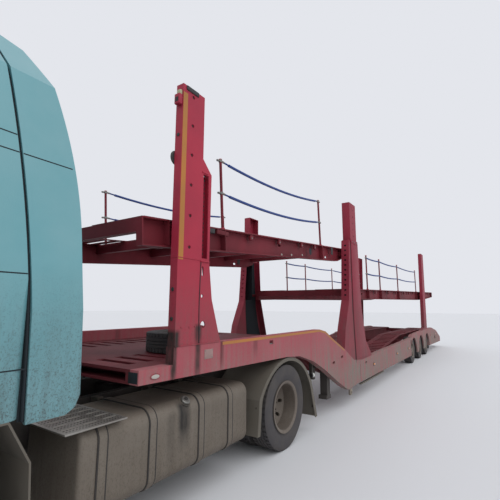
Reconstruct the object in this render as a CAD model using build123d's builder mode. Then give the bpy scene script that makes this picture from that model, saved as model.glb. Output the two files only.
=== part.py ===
"""Articulated car transporter: a sleeper-cab tractor and a two-deck semi-trailer.

Millimetres, X forward, Y to the left, Z up, standing on Z = 0, with the origin in the
middle of the outline on the ground. Stations along the vehicle are measured from the
drive axle, forward positive, and the planes below carry that offset.
"""
import os
from math import cos, radians, sin

from build123d import *

os.makedirs("parts", exist_ok=True)

# Overall layout
wheelbase = 3700
front_overhang = 1400
kingpin_lead = 450
trailer_reach = 15300
half_width = 1250
nose = wheelbase + front_overhang
tail = kingpin_lead - trailer_reach
drive_x = -(nose + tail) / 2

# Clearances
seat_gap = 0.3
slide_gap = 0.5
swing_gap = 6

# Wheels: the tractor's are one size, the trailer's a smaller one
road_radius = 500
road_bead = 292
front_width = 300
twin_width = 270
twin_spacing = 310
small_radius = 400
small_bead = 226
small_width = 240
tyre_outer_y = half_width - 20
small_outer_y = half_width - 58
bead_set = 24
shoulder = 34
rim_wall = 12
disc_wall = 14
front_disc_shift = 40
small_disc_shift = 20
hub_radius = 130
hub_reach = 70
cap_wall = 12
hand_hole = 26
hand_holes = 8
front_mid_y = tyre_outer_y - front_width / 2
twin_outer_y = tyre_outer_y - twin_width / 2
twin_inner_y = twin_outer_y - twin_spacing
small_mid_y = small_outer_y - small_width / 2

# Steering and axles
king_y = tyre_outer_y - 350
boss_radius = 45
boss_half = 80
king_radius = 20
lug_wall = 40
arm_wall = 40
spindle_radius = 48
axle_beam = 90
axle_drop = 110
axle_slope = 260
drive_spindle = 60
axle_tube = 75
bell_radius = 200
bell_half = 180
shaft_radius = 45
trailer_spindle = 45
trailer_tube = 65

# Tractor frame
rail_half = 425
rail_depth = 280
rail_flange = 80
rail_wall = 10
rail_top = 930
rail_rear = -950
rail_front = nose - 250
rail_bottom = rail_top - rail_depth
frame_member_depth = 140
frame_member_width = 60

# Cab
cab_length = 1860
cab_front = nose - 90
cab_rear = cab_front - cab_length
cab_floor = 1100
roof_line = 2650
cab_top = 3720
waist_z = 1700
upper_half = half_width - 150
upper_z = 3200
roof_half = half_width - 400
roof_shoulder = 180
cab_wall = 45
corner_round = 80
roof_round = 60
back_lean = 20
back_bow = 108
back_top_lean = 290
back_top_z = cab_top - 200
screen_base = 1800
screen_top_x = cab_front - 260
door_front = cab_front - 120
door_rear = door_front - 930
door_sill = cab_floor + 50
door_head = roof_line - 60
window_base = screen_base + 80
window_head = door_head - 110
window_front = door_front - 130
window_rear = door_rear + 150
pillar = 70
pillar_lean = 300
fairing_rear = cab_rear - 340
fairing_wall = 30
fairing_base = cab_floor - 35
fairing_gap = 20
hinge_x = door_front - swing_gap / 2
hinge_y = half_width + 16
hinge_radius = 12
hinge_pin = 8
hinge_half = 45
hinge_leaf = 45
eye_half = 20
hinge_heights = (1260, 1620)
tilt_x = cab_front + 15
tilt_z = cab_floor + 15
tilt_y = 500
tilt_pin = 10
tilt_eye = 25
tilt_eye_half = 30
tilt_lug = 35

# Trailer side beams
beam_width = 100
beam_inner = half_width - beam_width
skirt_wall = 40
goose_base = 1100
goose_nose_base = goose_base + 40
goose_top = 1390
goose_front = kingpin_lead + 1900
goose_floor = 1250
goose_rear = kingpin_lead - 1650
axle_pitch = 1333
first_axle = tail + 6300
trailer_axle_stations = [first_axle - axle_pitch * n for n in range(3)]
arch_radius = 510
arch_top = 782
wheel_roof = 822
lug_x = kingpin_lead - 2850
lug_hole = 20
lug_wall_width = 30

# Deck posts
post_top = 3780
post_front = goose_front - 360
post_rear = post_front - 300
front_post_depth = 85
middle_post_depth = 150
rear_post_depth = 110
post_wall = 12

# Upper decks
deck_half = half_width - middle_post_depth - 12
member_width = 80
member_web = 10
member_flange = 12
deck_sheet = 6
front_pivot_x = post_front - 150
front_pivot_z = 2385
front_deck_front = goose_front - 100
front_deck_rear = kingpin_lead - 3100
front_deck_rise = 4.4
front_deck_depth = 250
rear_pivot_x = tail + 3670
rear_pivot_z = 2170
rear_deck_front = front_deck_rear - 250
rear_deck_rear = tail + 350
rear_deck_rise = 1.6
rear_deck_depth = 300
rear_deck_thin = 210
pivot_pin = 35
pivot_boss = 65
guide_radius = 30
guide_block_depth = 90
front_guide_x = front_deck_rear - 150
rear_guide_x = rear_deck_front - 45
stanchion_radius = 16
stanchion_height = 800
rope_radius = 10
rope_end_gap = 1.3

# Wheel tracks: pressed strips with rows of slots across them
track_inner = 400
track_outer = half_width - 240
slot_length = 460
slot_width = 80
slot_pitch = 200
sheet = 10


def side_plane(y):
    """Upright plane along the vehicle; a piece extruded from it grows to the right."""
    return Plane(origin=(drive_x, y, 0), x_dir=(1, 0, 0), z_dir=(0, -1, 0))


def cross_plane(x):
    """Upright plane across the vehicle; a piece extruded from it grows forward."""
    return Plane(origin=(drive_x + x, 0, 0), x_dir=(0, 1, 0), z_dir=(1, 0, 0))


def level_plane(z):
    """Level plane with its own origin over the drive axle."""
    return Plane(origin=(drive_x, 0, z), x_dir=(1, 0, 0), z_dir=(0, 0, 1))


def wheel_plane(x, y, z):
    """Section plane of a wheel, its first axis along the spindle and its second radial."""
    return Plane(origin=(drive_x + x, y, z), x_dir=(0, 1, 0), z_dir=(1, 0, 0))


def spindle_axis(x, z):
    return Axis((drive_x + x, 0, z), (0, 1, 0))


def face_plane(x, y, z, side):
    """Plane square to a wheel's spindle, looking outward on that side."""
    return Plane(origin=(drive_x + x, y, z), x_dir=(1, 0, 0), z_dir=(0, side, 0))


def deck_side_plane(x, z, rise, y):
    """Side plane of a deck that rises rearward from its pivot, with its origin there."""
    tilt = radians(rise)
    return Plane(origin=(drive_x + x, y, z), x_dir=(cos(tilt), 0, -sin(tilt)), z_dir=(0, -1, 0))


def save(builder, name):
    builder.part.label = name
    export_step(builder.part, f"parts/{name}.step")


def box_between(x, y, z, mode=Mode.ADD):
    """Block given by its lower and upper bounds along, across and up the vehicle."""
    middle = (drive_x + sum(x) / 2, sum(y) / 2, sum(z) / 2)
    with Locations(middle):
        Box(x[1] - x[0], y[1] - y[0], z[1] - z[0], mode=mode)


def spread(start, end, pitch):
    """Evenly spaced places from start to end, about a pitch apart."""
    count = max(round(abs(end - start) / pitch), 1)
    return [start + (end - start) * n / count for n in range(count + 1)]


def height_on(line, x):
    """Height at a station of a line whose points run rearward."""
    for (front_x, front_z), (rear_x, rear_z) in zip(line, line[1:]):
        if rear_x <= x < front_x:
            return front_z + (rear_z - front_z) * (front_x - x) / (front_x - rear_x)
    return line[0][1]


# Tyres and rims
def tyre_section(radius, width, bead):
    """Section of a tyre, across and outward from its middle."""
    edge = width / 2
    bulge = (radius + bead) / 2
    return (
        (edge - bead_set, bead), (edge, bulge), (edge - shoulder, radius),
        (shoulder - edge, radius), (-edge, bulge), (bead_set - edge, bead),
    )


def make_tyres(name, x, middles, radius, width, bead):
    with BuildPart() as tyres:
        for y in middles:
            with BuildSketch(wheel_plane(x, y, radius)):
                Polygon(*tyre_section(radius, width, bead))
            revolve(axis=spindle_axis(x, radius))
    save(tyres, name)


def make_rim(name, x, middles, disc_y, side, radius, width, bead, bore):
    """Rim barrels about each middle, carried by one dished disc and its hub."""
    barrel = width / 2 - bead_set
    inner = bead - rim_wall
    low = min(middles) - barrel
    high = max(middles) + barrel
    with BuildPart() as rim:
        with BuildSketch(wheel_plane(x, 0, radius)):
            for y in middles:
                with Locations((y, bead - seat_gap - rim_wall / 2)):
                    Rectangle(2 * barrel, rim_wall)
            with Locations(((low + high) / 2, inner - rim_wall / 2)):
                Rectangle(high - low, rim_wall)
            with Locations((disc_y, (hub_radius + inner) / 2 - rim_wall / 2)):
                Rectangle(disc_wall, inner - hub_radius)
            with Locations((disc_y + side * hub_reach / 2, (hub_radius + bore) / 2)):
                Rectangle(hub_reach + disc_wall, hub_radius - bore)
            with Locations((disc_y + side * (hub_reach + (disc_wall + cap_wall) / 2), hub_radius / 2)):
                Rectangle(cap_wall, hub_radius)
        revolve(axis=spindle_axis(x, radius))
        with BuildSketch(face_plane(x, disc_y, radius, side)):
            with PolarLocations((hub_radius + inner) / 2, hand_holes):
                Circle(hand_hole)
        extrude(amount=disc_wall, both=True, mode=Mode.SUBTRACT)
    save(rim, name)


for side_name, side in (("left", 1), ("right", -1)):
    make_tyres(f"front_tyre_{side_name}", wheelbase, [side * front_mid_y],
               road_radius, front_width, road_bead)
    make_rim(f"front_rim_{side_name}", wheelbase, [side * front_mid_y],
             side * (front_mid_y + front_disc_shift),
             side, road_radius, front_width, road_bead, spindle_radius + slide_gap)
    twins = [side * twin_inner_y, side * twin_outer_y]
    make_tyres(f"drive_tyres_{side_name}", 0, twins, road_radius, twin_width, road_bead)
    make_rim(f"drive_rims_{side_name}", 0, twins, side * (twin_inner_y + twin_outer_y) / 2,
             side, road_radius, twin_width, road_bead, drive_spindle + slide_gap)
    for number, x in enumerate(trailer_axle_stations, start=1):
        make_tyres(f"trailer_tyre_{number}_{side_name}", x, [side * small_mid_y],
                   small_radius, small_width, small_bead)
        make_rim(f"trailer_rim_{number}_{side_name}", x, [side * small_mid_y],
                 side * (small_mid_y + small_disc_shift), side, small_radius, small_width,
                 small_bead, trailer_spindle + slide_gap)

# Tractor frame: two channel rails, cross members and the stands that the cab rests on
frame_members = (rail_rear + 50, -560, 560, cab_rear - 1650, cab_rear - 550, rail_front - 70)
stand_length = 120
with BuildPart() as tractor_frame:
    with BuildSketch(cross_plane(rail_rear)):
        with Locations((rail_half - rail_wall / 2, rail_top - rail_depth / 2)):
            Rectangle(rail_wall, rail_depth)
        for z in (rail_top - rail_wall / 2, rail_bottom + rail_wall / 2):
            with Locations((rail_half - rail_flange / 2, z)):
                Rectangle(rail_flange, rail_wall)
    extrude(amount=rail_front - rail_rear)
    mirror(about=Plane.XZ)
    for x in frame_members:
        box_between((x, x + frame_member_width), (rail_wall - rail_half, rail_half - rail_wall),
                    (rail_top - rail_depth / 2 - frame_member_depth / 2,
                     rail_top - rail_depth / 2 + frame_member_depth / 2))
    for x in (cab_rear + 80, rail_front - 220):
        for y in (-rail_half, rail_half - rail_flange):
            box_between((x, x + stand_length), (y, y + rail_flange), (rail_top, cab_floor))
save(tractor_frame, "tractor_frame")

# Engine and gearbox as one block, hung on lugs between the rails
engine_front = cab_front - 450
engine_rear = engine_front - 1230
engine_half = 320
engine_base = 520
engine_top = cab_floor - 25
engine_lug_inset = 300
engine_lug_wall = 30
with BuildPart() as engine_block:
    box_between((engine_rear, engine_front), (-engine_half, engine_half), (engine_base, engine_top))
    for x in (engine_rear + engine_lug_inset, engine_front - engine_lug_inset):
        box_between((x, x + stand_length), (-rail_half, rail_half), (rail_top, rail_top + engine_lug_wall))
save(engine_block, "engine_block")

# Front axle: a dropped beam with a boss at each end, on two leaf springs
spring_reach = 640
spring_eye = 80
spring_wall = 60
spring_top = rail_bottom - 60
with BuildPart() as front_axle:
    with BuildSketch(cross_plane(wheelbase - axle_beam / 2)):
        beam_upper = road_radius + axle_beam / 2
        beam_lower = road_radius - axle_beam / 2
        Polygon(
            (-king_y, beam_upper), (-king_y, beam_lower), (axle_slope - king_y, beam_lower - axle_drop),
            (king_y - axle_slope, beam_lower - axle_drop), (king_y, beam_lower), (king_y, beam_upper),
            (king_y - axle_slope, beam_upper - axle_drop), (axle_slope - king_y, beam_upper - axle_drop))
    extrude(amount=axle_beam)
    for y in (-king_y, king_y):
        with Locations((drive_x + wheelbase, y, road_radius)):
            Cylinder(boss_radius, 2 * boss_half)
            Cylinder(king_radius + slide_gap, 2 * boss_half, mode=Mode.SUBTRACT)
    for y in (-rail_half, rail_half - rail_flange):
        box_between((wheelbase - spring_wall, wheelbase + spring_wall), (y, y + rail_flange),
                    (beam_upper - axle_drop - 20, spring_top))
        with BuildSketch(side_plane(y + rail_flange)):
            end = spring_reach + spring_eye
            Polygon(
                (wheelbase - end, rail_bottom), (wheelbase - spring_reach, rail_bottom),
                (wheelbase, spring_top), (wheelbase + spring_reach, rail_bottom),
                (wheelbase + end, rail_bottom), (wheelbase + end, rail_bottom - 50),
                (wheelbase, spring_top - spring_wall), (wheelbase - end, rail_bottom - 50))
        extrude(amount=rail_flange)
save(front_axle, "front_axle")


# Steering knuckles: two lugs over the boss, the pin through it and the wheel's spindle
def make_knuckle(name, side):
    arm_y = king_y + boss_radius + 5
    top = road_radius + boss_half + slide_gap
    bottom = road_radius - boss_half - slide_gap
    with BuildPart() as knuckle:
        y_bounds = sorted((side * (king_y - boss_radius), side * (arm_y + arm_wall)))
        for z in ((top, top + lug_wall), (bottom - lug_wall, bottom)):
            box_between((wheelbase - boss_radius, wheelbase + boss_radius), y_bounds, z)
        box_between((wheelbase - boss_radius, wheelbase + boss_radius),
                    sorted((side * arm_y, side * (arm_y + arm_wall))), (bottom, top))
        with Locations((drive_x + wheelbase, side * king_y, road_radius)):
            Cylinder(king_radius, top - bottom + lug_wall)
        with BuildSketch(face_plane(wheelbase, side * arm_y, road_radius, side)):
            Circle(spindle_radius)
        extrude(amount=front_mid_y + front_disc_shift + hub_reach - arm_y - slide_gap)
    save(knuckle, name)


make_knuckle("knuckle_left", 1)
make_knuckle("knuckle_right", -1)

# Drive axle: tube, bell, spindles, trailing arms, air springs and the propeller shaft
arm_z = road_radius + axle_tube
arm_reach = 520
air_spring_reach = 420
air_spring_radius = 95
twin_disc_y = (twin_inner_y + twin_outer_y) / 2
tube_half = twin_inner_y - twin_width / 2 - 50
with BuildPart() as drive_axle:
    with BuildSketch(wheel_plane(0, 0, road_radius)):
        with Locations((0, drive_spindle / 2)):
            Rectangle(2 * (twin_disc_y + hub_reach), drive_spindle)
        with Locations((0, axle_tube / 2)):
            Rectangle(2 * tube_half, axle_tube)
        Polygon((-bell_half, 0), (-bell_half, axle_tube), (-bell_half / 2, bell_radius),
                (bell_half / 2, bell_radius), (bell_half, axle_tube), (bell_half, 0))
    revolve(axis=spindle_axis(0, road_radius))
    with BuildSketch(cross_plane(0)):
        with Locations((0, road_radius)):
            Circle(shaft_radius)
    extrude(amount=engine_rear)
    for y in (-rail_half, rail_half - rail_flange):
        box_between((-arm_reach, arm_reach), (y, y + rail_flange), (road_radius, arm_z))
        for x in (-air_spring_reach, air_spring_reach):
            with Locations((drive_x + x, y + rail_flange / 2, (arm_z + rail_bottom) / 2)):
                Cylinder(air_spring_radius, rail_bottom - arm_z)
save(drive_axle, "drive_axle")

# Fifth wheel: a plate with a rear-facing throat on two saddles across the rails
plate_top = goose_base - slide_gap
plate_wall = 40
plate_radius = 440
throat_depth = 150
throat_mouth = 170
saddle_half = 110
pin_radius = 25.4
with BuildPart() as fifth_wheel:
    with BuildSketch(level_plane(plate_top - plate_wall)):
        bore = pin_radius + slide_gap
        with Locations((kingpin_lead, 0)):
            Circle(plate_radius)
            Circle(bore, mode=Mode.SUBTRACT)
        Polygon((kingpin_lead, bore), (kingpin_lead, -bore), (kingpin_lead - throat_depth, -bore),
                (kingpin_lead - plate_radius - 10, -throat_mouth),
                (kingpin_lead - plate_radius - 10, throat_mouth),
                (kingpin_lead - throat_depth, bore), mode=Mode.SUBTRACT)
    extrude(amount=plate_wall)
    for y in (-rail_half, rail_half - saddle_half):
        box_between((kingpin_lead - saddle_half, kingpin_lead + saddle_half), (y, y + saddle_half),
                    (rail_top, plate_top - plate_wall))
save(fifth_wheel, "fifth_wheel")

# Mudguards: bent sheets over the drive twins and liners over the front wheels
guard_wall = 12
guard_top = goose_base - 16
guard_inner_y = half_width - 630
liner_inner_y = half_width - 690
liner_half = 480
liner_shoulder = 850
liner_foot = 560
with BuildPart() as mudguards:
    with BuildSketch(side_plane(half_width)):
        with BuildLine():
            front_fall = Line((690, 330), (650, 700))
            crown = ThreePointArc(front_fall @ 1, (40, guard_top - guard_wall), (-560, 860))
            Polyline(crown @ 1, (-700, 690), (-870, 190))
            offset(amount=guard_wall, side=Side.RIGHT)
        make_face()
    extrude(amount=half_width - guard_inner_y)
    for x, z in ((655, 720), (-660, 760)):
        box_between((x - 25, x + 25), (rail_half, guard_inner_y + 40), (z - 25, z + 25))
    with BuildSketch(side_plane(half_width)):
        with BuildLine():
            Polyline((wheelbase + liner_half + 170, liner_foot),
                     (wheelbase + liner_half + 160, liner_shoulder),
                     (wheelbase + liner_half, cab_floor - guard_wall),
                     (wheelbase - liner_half, cab_floor - guard_wall),
                     (wheelbase - liner_half - 130, liner_shoulder),
                     (wheelbase - liner_half - 150, liner_foot))
            offset(amount=guard_wall, side=Side.RIGHT)
        make_face()
    extrude(amount=half_width - liner_inner_y)
    mirror(about=Plane.XZ)
save(mudguards, "mudguards")

# Fuel tanks: rounded tanks in straps on brackets from the rails, one each side
tank_front = cab_rear - 400
tank_length = 1920
tank_rear = tank_front - tank_length
tank_inner = 520
tank_outer = half_width - 45
tank_base = 330
tank_top = 930
tank_round = 110
tank_end_round = 40
tank_middle = ((tank_inner + tank_outer) / 2, (tank_base + tank_top) / 2)
strap_wall = 8
strap_width = 60
strap_shares = (0.15, 0.375, 0.67, 0.9)
with BuildPart() as fuel_tanks:
    with BuildSketch(cross_plane(tank_rear)):
        with Locations(tank_middle):
            RectangleRounded(tank_outer - tank_inner, tank_top - tank_base, tank_round)
    extrude(amount=tank_length)
    tank_ends = fuel_tanks.faces().filter_by(Axis.X)
    fillet(tank_ends.edges(), tank_end_round)
    for share in strap_shares:
        x = tank_rear + share * tank_length
        with BuildSketch(cross_plane(x)):
            with Locations(tank_middle):
                RectangleRounded(tank_outer - tank_inner + 2 * strap_wall,
                                 tank_top - tank_base + 2 * strap_wall, tank_round + strap_wall)
        extrude(amount=strap_width)
        box_between((x, x + strap_width), (rail_half, tank_inner), (rail_bottom, rail_top))
    mirror(about=Plane.XZ)
save(fuel_tanks, "fuel_tanks")

# Step plates behind the cab, each with a turned-down edge, on bearers across the tank's top
step_base = tank_top + strap_wall
step_wall = 12
step_front = cab_rear - 260
step_rear = step_front - 460
with BuildPart() as step_plates:
    box_between((step_rear, step_front), (tank_inner + 70, half_width), (step_base, step_base + step_wall))
    box_between((step_rear, step_front), (half_width - step_wall, half_width), (step_base - 40, step_base))
    for x in (step_rear + 10, tank_front - 90):
        box_between((x, x + 40), (tank_inner + tank_round, tank_outer - tank_round), (tank_top, step_base))
    mirror(about=Plane.XZ)
save(step_plates, "step_plates")


# Cab: cross section, side profile and plan crossed with each other, once for the outside
# and once for the hollow inside the wall
def cab_section(inset):
    """Cross section of the cab, brought in by the wall given."""
    return (
        (half_width - inset, cab_floor + inset), (half_width - inset, waist_z),
        (upper_half - inset, upper_z), (roof_half - inset, cab_top - roof_shoulder),
        (roof_half - 250, cab_top - inset), (250 - roof_half, cab_top - inset),
        (inset - roof_half, cab_top - roof_shoulder), (inset - upper_half, upper_z),
        (inset - half_width, waist_z), (inset - half_width, cab_floor + inset),
    )


def rear_edge(inset):
    """Upright of the cab's rear wall above the waist: three places that it bows through."""
    return (
        (cab_rear + back_lean + inset, waist_z),
        (cab_rear + back_bow + inset, (waist_z + back_top_z) / 2),
        (cab_rear + back_top_lean + inset, back_top_z),
    )


def cab_form(inset):
    """Solid of the cab, brought in by the wall given."""
    edge_round = roof_round - inset
    with BuildPart() as form:
        with BuildSketch(cross_plane(cab_rear)) as section:
            Polygon(*cab_section(inset))
            upper_corners = section.vertices().filter_by_position(Axis.Y, roof_line, cab_top)
            fillet(upper_corners, edge_round)
        extrude(amount=cab_front - cab_rear)
        with BuildSketch(side_plane(half_width)) as profile:
            with BuildLine():
                back = ThreePointArc(*rear_edge(inset))
                Polyline(
                    back @ 1, (cab_rear + 400 + inset, cab_top - inset), (cab_front - 900, cab_top - inset),
                    (screen_top_x - 180 - inset, cab_top - 420 - inset / 2),
                    (screen_top_x - inset, roof_line), (cab_front - inset, screen_base),
                    (cab_front - inset, cab_floor + inset), (cab_rear + inset, cab_floor + inset), back @ 0)
            make_face()
            roof_corners = profile.vertices().filter_by_position(Axis.Y, roof_line + 100, cab_top)
            fillet(roof_corners, edge_round)
        extrude(amount=2 * half_width, mode=Mode.INTERSECT)
        with BuildSketch(level_plane(cab_floor)):
            with Locations(((cab_rear + cab_front) / 2, 0)):
                RectangleRounded(cab_length - 2 * inset, 2 * (half_width - inset), corner_round - inset)
        extrude(amount=cab_top, mode=Mode.INTERSECT)
    return form.part


cab_core = cab_form(0)
cab_cavity = cab_form(cab_wall)
with BuildPart() as cab_skin:
    add(cab_core)
    add(cab_cavity, mode=Mode.SUBTRACT)

door_outline = (
    (door_rear, door_sill), (door_rear, door_head), (door_front - pillar_lean, door_head),
    (door_front, screen_base), (door_front, door_sill),
)
window_outline = (
    (window_rear, window_base), (window_rear, window_head), (window_front - pillar_lean + 40, window_head),
    (window_front, window_base),
)
panel_line = screen_base - 10


def side_y(z):
    """Half width of the cab at the height given."""
    lean = (half_width - upper_half) / (upper_z - waist_z)
    return half_width - lean * max(z - waist_z, 0)


def front_opening(inset):
    """Opening of the cab's front between its pillars, brought in by the inset given."""
    top = roof_line - pillar - inset
    bottom = cab_floor + pillar + inset
    edge = pillar + inset
    return (
        (side_y(bottom) - edge, bottom), (side_y(waist_z) - edge, waist_z), (side_y(top) - edge, top),
        (edge - side_y(top), top), (edge - side_y(waist_z), waist_z), (edge - side_y(bottom), bottom),
    )


def cut_above(z):
    """Takes away all of the cab over the height given."""
    box_between((0, 2 * wheelbase), (-2 * half_width, 2 * half_width), (z, z + cab_top), mode=Mode.SUBTRACT)


def cut_below(z):
    """Takes away all of the cab under the height given."""
    box_between((0, 2 * wheelbase), (-2 * half_width, 2 * half_width), (z - cab_top, z), mode=Mode.SUBTRACT)


with BuildPart() as cab_shell:
    add(cab_skin.part)
    cut_above(roof_line)
    with BuildSketch(side_plane(2 * half_width)):
        Polygon(*door_outline)
    extrude(amount=4 * half_width, mode=Mode.SUBTRACT)
    with BuildSketch(cross_plane(screen_top_x - 100)):
        Polygon(*front_opening(0))
    extrude(amount=cab_front - screen_top_x + 200, mode=Mode.SUBTRACT)
    for side in (1, -1):
        leaf_y = sorted((side * half_width, side * (hinge_y + hinge_radius)))
        for z in hinge_heights:
            with Locations((drive_x + hinge_x, side * hinge_y, z)):
                Cylinder(hinge_radius, 2 * hinge_half)
                Cylinder(hinge_radius + 2, 2 * (eye_half + slide_gap), mode=Mode.SUBTRACT)
                Cylinder(hinge_pin, 2 * hinge_half)
            for low, high in ((-hinge_half, -eye_half - slide_gap), (eye_half + slide_gap, hinge_half)):
                box_between((hinge_x, hinge_x + hinge_leaf), leaf_y, (z + low, z + high))
        with BuildSketch(face_plane(tilt_x, side * (tilt_y - tilt_eye_half), tilt_z, side)):
            Circle(tilt_eye)
            Circle(tilt_pin + slide_gap, mode=Mode.SUBTRACT)
        extrude(amount=2 * tilt_eye_half)
save(cab_shell, "cab_shell")

with BuildPart() as cab_roof:
    add(cab_skin.part)
    cut_below(roof_line + seat_gap)
save(cab_roof, "cab_roof")

# Windscreen and front panel fill the opening in the cab's front
grille_slots = 5
grille_pitch = 90
grille_slot = (1500, 50)
with BuildPart() as front_filler:
    add(cab_skin.part)
    with BuildSketch(cross_plane(screen_top_x - 100)):
        Polygon(*front_opening(seat_gap))
    extrude(amount=cab_front - screen_top_x + 200, mode=Mode.INTERSECT)
with BuildPart() as windscreen:
    add(front_filler.part)
    cut_below(panel_line + seat_gap)
save(windscreen, "windscreen")
with BuildPart() as front_panel:
    add(front_filler.part)
    cut_above(panel_line)
    with BuildSketch(cross_plane(cab_front - cab_wall / 2)):
        with Locations((0, (cab_floor + panel_line) / 2)):
            with GridLocations(0, grille_pitch, 1, grille_slots):
                Rectangle(*grille_slot)
    extrude(amount=cab_wall, mode=Mode.SUBTRACT)
save(front_panel, "front_panel")


# Doors: the panel cut from the cab's skin, its window cut, and the glass in it
def make_door(side_name, side):
    plane = side_plane(0 if side < 0 else 2 * half_width)
    with BuildPart() as door:
        add(cab_skin.part)
        with BuildSketch(plane):
            Polygon(*door_outline)
            offset(amount=-swing_gap, kind=Kind.INTERSECTION)
            Polygon(*window_outline, mode=Mode.SUBTRACT)
        extrude(amount=2 * half_width, mode=Mode.INTERSECT)
        for z in hinge_heights:
            box_between((hinge_x - 70, hinge_x), sorted((side * half_width, side * (half_width + 8))),
                        (z - eye_half, z + eye_half))
            with Locations((drive_x + hinge_x, side * hinge_y, z)):
                Cylinder(hinge_radius, 2 * eye_half)
                Cylinder(hinge_pin + slide_gap, 2 * eye_half, mode=Mode.SUBTRACT)
    save(door, f"door_{side_name}")
    with BuildPart() as glass:
        add(cab_skin.part)
        with BuildSketch(plane):
            Polygon(*window_outline)
            offset(amount=-seat_gap, kind=Kind.INTERSECTION)
        extrude(amount=2 * half_width, mode=Mode.INTERSECT)
    save(glass, f"door_glass_{side_name}")


make_door("left", 1)
make_door("right", -1)

# Side fairings behind the cab, leaning forward with it, on brackets from its rear wall
fairing_top = back_top_z + 20
fairing_lean = 36
bracket_reach = 120
bracket_y = half_width - 270
bracket_wall = 20
bracket_depth = 60
with BuildPart() as side_fairings:
    with BuildSketch(cross_plane(fairing_rear - 100)):
        with BuildLine():
            Polyline((half_width, fairing_base), (half_width, waist_z), (upper_half, upper_z),
                     (roof_half, cab_top - roof_shoulder))
            offset(amount=fairing_wall, side=Side.LEFT)
        make_face()
    extrude(amount=cab_length)
    with BuildSketch(side_plane(half_width)):
        with BuildLine():
            front = ThreePointArc(*[(x - fairing_gap, z) for x, z in rear_edge(0)])
            back = ThreePointArc((cab_rear + back_top_lean - 240, back_top_z - 30),
                                 (cab_rear - 205, (waist_z + back_top_z) / 2 + 220),
                                 (fairing_rear + fairing_lean, waist_z + 400))
            Polyline(front @ 1, (cab_rear + back_top_lean - 100, fairing_top), back @ 0)
            Polyline(back @ 1, (fairing_rear, cab_floor + 70), (fairing_rear + 30, fairing_base + 35),
                     (fairing_rear + 90, fairing_base), (cab_rear - fairing_gap, fairing_base), front @ 0)
        make_face()
    extrude(amount=half_width, mode=Mode.INTERSECT)
    for z in (cab_floor + 300, waist_z + 400, roof_line + 250):
        outer = side_y(z + bracket_depth) - 10
        box_between((cab_rear - bracket_reach, cab_rear + bracket_reach),
                    (bracket_y, bracket_y + bracket_wall), (z, z + bracket_depth))
        box_between((cab_rear - bracket_reach, cab_rear - bracket_reach + bracket_wall),
                    (bracket_y, outer), (z, z + bracket_depth))
    add(cab_core, mode=Mode.SUBTRACT)
    mirror(about=Plane.XZ)
save(side_fairings, "side_fairings")

# Front bumper with the lamp recesses, the steps at its corners and the lugs the cab tilts on
bumper_base = 380
bumper_top = cab_floor - 20
bumper_return = 710
step_recess = 310
lamp_inner = half_width - 610
lamp_outer = half_width - 130
lamp_base = 700
lamp_top = 880
lamp_depth = 70
with BuildPart() as front_bumper:
    box_between((rail_front, nose), (-half_width, half_width), (bumper_base, bumper_top))
    for side in (1, -1):
        outer = sorted((side * (half_width - step_recess), side * half_width))
        box_between((nose - bumper_return, nose), outer, (bumper_base, bumper_top))
        for z in (bumper_base + 80, bumper_base + 360):
            box_between((nose - bumper_return + 70, rail_front - 60),
                        sorted((side * (half_width - 190), side * half_width)),
                        (z, z + 220), mode=Mode.SUBTRACT)
        box_between((nose - lamp_depth, nose), sorted((side * lamp_inner, side * lamp_outer)),
                    (lamp_base, lamp_top), mode=Mode.SUBTRACT)
        for low, high in ((-tilt_eye_half - swing_gap - tilt_lug, -tilt_eye_half - swing_gap),
                          (tilt_eye_half + swing_gap, tilt_eye_half + swing_gap + tilt_lug)):
            box_between((tilt_x - tilt_pin, tilt_x + tilt_eye),
                        sorted((side * (tilt_y + low), side * (tilt_y + high))), (bumper_top, tilt_z))
        with BuildSketch(face_plane(tilt_x, side * (tilt_y - tilt_eye_half - swing_gap - tilt_lug),
                                    tilt_z, side)):
            Circle(tilt_pin)
        extrude(amount=2 * (tilt_eye_half + swing_gap + tilt_lug))
    box_between((nose - 120, nose), (-tilt_y + 80, tilt_y - 80), (bumper_base + 60, bumper_base + 240),
                mode=Mode.SUBTRACT)
save(front_bumper, "front_bumper")

# Lamps of the tractor: headlamps seated in the bumper, tail lamps at the rails' ends
with BuildPart() as tractor_lamps:
    for side in (1, -1):
        box_between((nose - lamp_depth, nose - 4),
                    sorted((side * (lamp_inner + seat_gap), side * (lamp_outer - seat_gap))),
                    (lamp_base + seat_gap, lamp_top - seat_gap))
        box_between((rail_rear - 60, rail_rear), sorted((side * 180, side * rail_half)),
                    (rail_top - 200, rail_top - 70))
save(tractor_lamps, "tractor_lamps")

# Dashboard with the steering column, and the wheel on the left
wheel_y = half_width / 2
wheel_radius = 225
wheel_rim = 25
dash_rear = cab_front - 620
dash_front = cab_front - cab_wall - 15
dash_half = half_width - cab_wall - 40
with BuildPart() as dashboard:
    with BuildSketch(side_plane(dash_half)):
        Polygon((dash_front, cab_floor + cab_wall), (dash_front, waist_z), (dash_front - 80, waist_z + 90),
                (dash_rear + 120, waist_z + 120), (dash_rear, waist_z), (dash_rear + 150, waist_z - 200),
                (dash_rear + 260, cab_floor + cab_wall))
    extrude(amount=2 * dash_half)
    column = Plane(origin=(drive_x + dash_rear + 60, wheel_y, waist_z), x_dir=(0, 1, 0),
                   z_dir=(-0.5, 0, 0.87))
    with BuildSketch(column.offset(-60)):
        Circle(35)
    extrude(amount=200)
    with BuildSketch(column.offset(120)):
        Circle(wheel_radius)
        Circle(wheel_radius - wheel_rim, mode=Mode.SUBTRACT)
        Rectangle(40, 2 * wheel_radius - wheel_rim)
    extrude(amount=26)
save(dashboard, "dashboard")

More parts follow.
